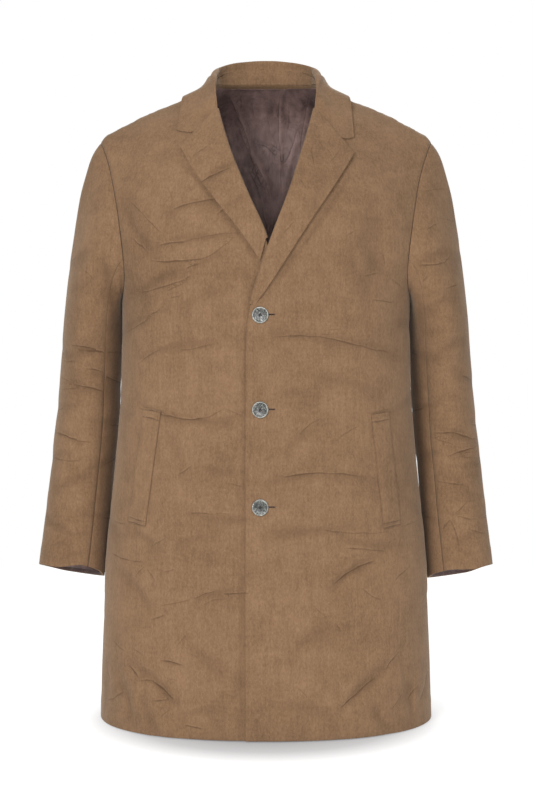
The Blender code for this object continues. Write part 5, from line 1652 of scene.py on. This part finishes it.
satin = Finish("satin", Sheen_Weight=0.12, Sheen_Roughness=0.3, Specular_IOR_Level=0.35)
floats, satin_tone, satin_height = woven(satin, SATIN_PATTERNS)
fold_shade_and_light = fine_line(satin)
in_tone, in_height = SATIN_LINE
# painted light and shade: the fine fold lines, and the kept shade of folds, under the collar and inside the
# cuffs
lit = satin_tone + fold_shade_and_light * in_tone - satin.kept("shade") * SATIN_SHADED
satin.colour(satin.mix(lit.clamped(), SATIN_DARK, SATIN_LIGHT))
satin.rough(SATIN_ROUGH[0] + floats["rubbed"] * SATIN_ROUGH[1])
satin.bump(satin_height + fold_shade_and_light * in_height, *SATIN_BUMP)
print("the satin has", len(satin.tree.nodes), "nodes")

# %% [markdown]
# ## Horn, thread and the painted shade of a buttonhole
# The buttons are marbled grey: pale clouds with dark veins, a darker dish and a lighter rim, under a
# polish. Thread is twisted, so its finish has a fine grain. The slit is painted nearly black, as the shade
# inside it, with the nap's own roughness.

# %% Horn
MARBLE = (
    (0.36, (0.014, 0.015, 0.014)), (0.48, (0.045, 0.047, 0.044)),
    (0.55, (0.140, 0.144, 0.132)), (0.64, (0.50, 0.50, 0.46)),
)
# the colour towards which the dish is darker
HORN_DISH_DARK = (0.022, 0.024, 0.022)
HORN_RIM = (0.42, 0.42, 0.38)
HORN_EDGE = (0.030, 0.029, 0.026)
CLOUDS = (150.0, 4.0, 0.6, (1.0, 1.0, 1.6), 2.2)  # scale, detail, roughness, stretch and distortion
VEINS = (520.0, 3.0, 0.6, (1.0, 1.0, 0.7), 2.2)
VEINED = 0.4  # the veins' share in the marble
RIM_FROM, DISH_TO, EDGE_FROM = (0.80, 5.0), (0.82, 2.4), (0.955, 30.0)  # place on the radius, how soon
DISH_DARKENING = 0.45
RIM_PATCHES = (3.0, 0.8)  # how strongly the clouds break the rim up, and how much of it they take
HORN_ROUGH = (0.22, 0.16)  # how rough it is, and how much more so on a vein
HORN_BUMP = (0.08, 0.0004)

horn = Finish("horn", Specular_IOR_Level=0.4, Coat_Weight=0.15, Coat_Roughness=0.15)
clouds, veins = horn.noise(*CLOUDS), horn.noise(*VEINS)
marble = horn.ramp(MARBLE, clouds * (1.0 - VEINED) + veins * VEINED)
at_rim = horn.kept("rim")
pale = ((at_rim - RIM_FROM[0]) * RIM_FROM[1]).clamped()
dished = ((DISH_TO[0] - at_rim) * DISH_TO[1]).clamped()
outer_edge = ((at_rim - EDGE_FROM[0]) * EDGE_FROM[1]).clamped()
# the dish is darker, most of all in its middle
dark_dished_horn = horn.mix(dished * DISH_DARKENING, marble, HORN_DISH_DARK)
patches = clouds * RIM_PATCHES[0] - RIM_PATCHES[1]
turned_rim = horn.mix((pale * patches).clamped(), dark_dished_horn, HORN_RIM)
horn.colour(horn.mix(outer_edge, turned_rim, HORN_EDGE))
horn.rough(HORN_ROUGH[0] + veins * HORN_ROUGH[1])
horn.bump(veins, *HORN_BUMP)
print("the horn has", len(horn.tree.nodes), "nodes")


# %% Thread and slit
def grained(name, grain, dark, light, least_rough, rise, **surface):
    """A finish with one fine grain between two colours, and that grain."""
    finish = Finish(name, **surface)
    speck = finish.noise(*grain)
    finish.colour(finish.mix(speck, dark, light))
    finish.rough(least_rough + speck * rise)
    return finish, speck


thread, twist = grained(
    "thread", (2600.0, 1.0, 0.5, (1.0, 1.0, 0.5)), (0.070, 0.040, 0.024), (0.150, 0.088, 0.052), 0.75, 0.1,
    Sheen_Weight=0.2, Specular_IOR_Level=0.3)
thread.bump(twist, 0.4, 0.0003)
dark_thread, _ = grained(
    "dark thread", (2600.0, 1.0, 0.5), (0.016, 0.014, 0.013), (0.050, 0.044, 0.040), 0.7, 0.1,
    Specular_IOR_Level=0.3)
# painted shade: the slit's near black stands for the shade inside the buttonhole
slit_shade_finish, _ = grained(
    "slit", (1800.0, 2.0), (0.006, 0.004, 0.003), (0.026, 0.016, 0.011), 0.9, 0.05, Specular_IOR_Level=0.1)
print("with the thread, the dark thread and the slit there are", len(bpy.data.materials), "materials")

# %% Wear the finishes
WEARS = (
    (wool, "wool", list(cloth.values())),
    (satin, "lining", list(satins.values())),
    (horn, "button", [bpy.data.objects[f"button_{number}_horn"] for number in (1, 2, 3)]),
    (thread, "wool", welt_rows + whips),
    (dark_thread, "wool", button_threads),
    (slit_shade_finish, "wool", slits),
)
for finish, slot, pieces in WEARS:
    for piece in pieces:
        piece.data.materials.clear()
        piece.data.materials.append(finish.material)
    print(len(pieces), "pieces wear the", finish.material.name)

# %% [markdown]
# ## The cloth's cuts
# Each sheet's area on one side is printed beside the size that it was cut to. The cuts below are the
# pattern's pieces for what shows: their widest and longest measure, and their flat area where the cut
# isn't a rectangle.

# %% Sheets
CUTS = {  # piece: width, length and area of the cut, and what it rests on
    "front_left": (0.325, 0.930, 0.262, []),
    "front_right": (0.300, 0.930, 0.257, []),
    "back": (0.570, 0.970, 0.508, []),
    "top_sleeve_left": (0.300, 0.650, 0.138, []),
    "top_sleeve_right": (0.300, 0.650, 0.138, []),
    "under_sleeve_left": (0.160, 0.520, 0.050, []),
    "under_sleeve_right": (0.160, 0.520, 0.050, []),
    "lapel_left": (0.120, 0.300, 0.0152, ["front_left"]),
    "lapel_right": (0.110, 0.210, 0.0118, ["front_right"]),
    "collar": (0.480, 0.095, 0.0355, []),
    "collar_stand": (0.300, 0.028, 0.0045, []),
    "welt_left": (0.026, 0.164, None, ["front_left"]),
    "welt_right": (0.026, 0.164, None, ["front_right"]),
    "back_lining": (0.560, 0.950, 0.455, ["back"]),
    "sleeve_lining_left": (0.320, 0.180, 0.054, []),
    "sleeve_lining_right": (0.320, 0.180, 0.054, []),
}
sheets = {**cloth, **satins}
for node, (width, length, area, under) in CUTS.items():
    piece = sheets[node]
    a_side = sum(face.area for face in piece.data.polygons) / 2
    print(node, "has", round(a_side, 4), "square metres a side; its cut has", area or width * length)

# %% [markdown]
# ## The studio
# The coat stands just clear of a white floor in front of white paper. A broad lamp high on the viewer's
# left models the creases, weaker ones in front and on the right keep them soft and reach the lining, and
# a lamp overhead lights the shoulders. The floor glows white but for a soft shadow painted under the hem.

# %% Floor
FLOOR = cad_box[0][2] - 0.0015
FLOOR_SIZE = 2.4
PAPER_GREYS = (0.34, 0.36)
PAPER_GLOW = 0.80
# a soft shadow painted into the floor's glow under the coat: how far it reaches across and to the front and
# back
PAINTED_SHADOW_REACH = (0.290, 0.265)  # how far the dark patch reaches across and to the front and back
PAINTED_SHADOW_SHIFT = 0.050
PAINTED_SHADOW_GLOW = (0.16, 0.16, 0.17)
PAINTED_SHADOW_FADE = ((0.0, 0.0), (0.12, 0.14), (0.30, 0.74), (0.50, 1.0))  # from its rim inwards

bpy.ops.object.select_all(action="DESELECT")
bpy.ops.mesh.primitive_plane_add(size=FLOOR_SIZE, location=(0, 0, FLOOR))
floor = bpy.context.object
floor.name = "floor"
paper = Finish("white floor", Roughness=0.9, Specular_IOR_Level=0.0, Emission_Strength=PAPER_GLOW)
paper.colour(paper.mix(paper.noise(3.0, 2.0), *PAPER_GREYS))
painted_shadow = paper.node("ShaderNodeTexGradient", {"gradient_type": "SPHERICAL"}, {
    "Vector": paper.stretched((1 / PAINTED_SHADOW_REACH[0], 1 / PAINTED_SHADOW_REACH[1], 1.0), (0.0, PAINTED_SHADOW_SHIFT, 0.0))})
# painted shadow: the floor's glow falls towards a dark grey under the hem
paper.feed("Emission Color", paper.mix(paper.ramp(PAINTED_SHADOW_FADE, painted_shadow), 1.0, PAINTED_SHADOW_GLOW))
floor.data.materials.append(paper.material)

print("the floor lies at", round(FLOOR, 4))

# %% White paper behind
WORLD_LIGHT = 0.45  # what the paper lights with
WORLD_WHITE = 1.0  # how white it looks

world = bpy.data.worlds.new("white paper")
bpy.context.scene.world = world
backdrop = Finish(world.name, world, "Background", Color=full(1.0))
seen = backdrop.node("ShaderNodeLightPath", {}, {}, "Is Camera Ray")
light = {"Value": seen, "To Min": WORLD_LIGHT, "To Max": WORLD_WHITE}
backdrop.feed("Strength", backdrop.node("ShaderNodeMapRange", {}, light, "Result"))
print("the paper lights with", WORLD_LIGHT, "of the white that it shows")

# %% Lamps
LAMPS = {  # name: place, aim, size, watts
    "key": ((-1.2, -2.8, 0.7), (0.0, 0.0, -0.54), 1.2, 71.0),
    "front": ((0.1, -3.0, -0.1), (0.0, 0.0, -0.50), 1.0, 20.0),
    "fill": ((2.0, -2.6, -0.1), (0.0, 0.0, -0.50), 2.0, 24.0),
    "top": ((0.0, -0.2, 2.2), (0.0, 0.0, 0.0), 1.8, 14.0),
    "back": ((0.4, 2.8, 1.0), (0.0, 0.0, -0.4), 2.0, 40.0),
}
for name, (place, aim, size, watts) in LAMPS.items():
    lamp = bpy.data.lights.new(name, "AREA")
    lamp.shape = "DISK"
    lamp.size = size
    lamp.energy = watts
    hung = bpy.data.objects.new(name, lamp)
    hung.location = place
    hung.rotation_euler = (Vector(aim) - Vector(place)).to_track_quat("-Z", "Y").to_euler()
    bpy.context.scene.collection.objects.link(hung)
print(len(LAMPS), "lamps, with", sum(watts for *_, watts in LAMPS.values()), "watts in all")
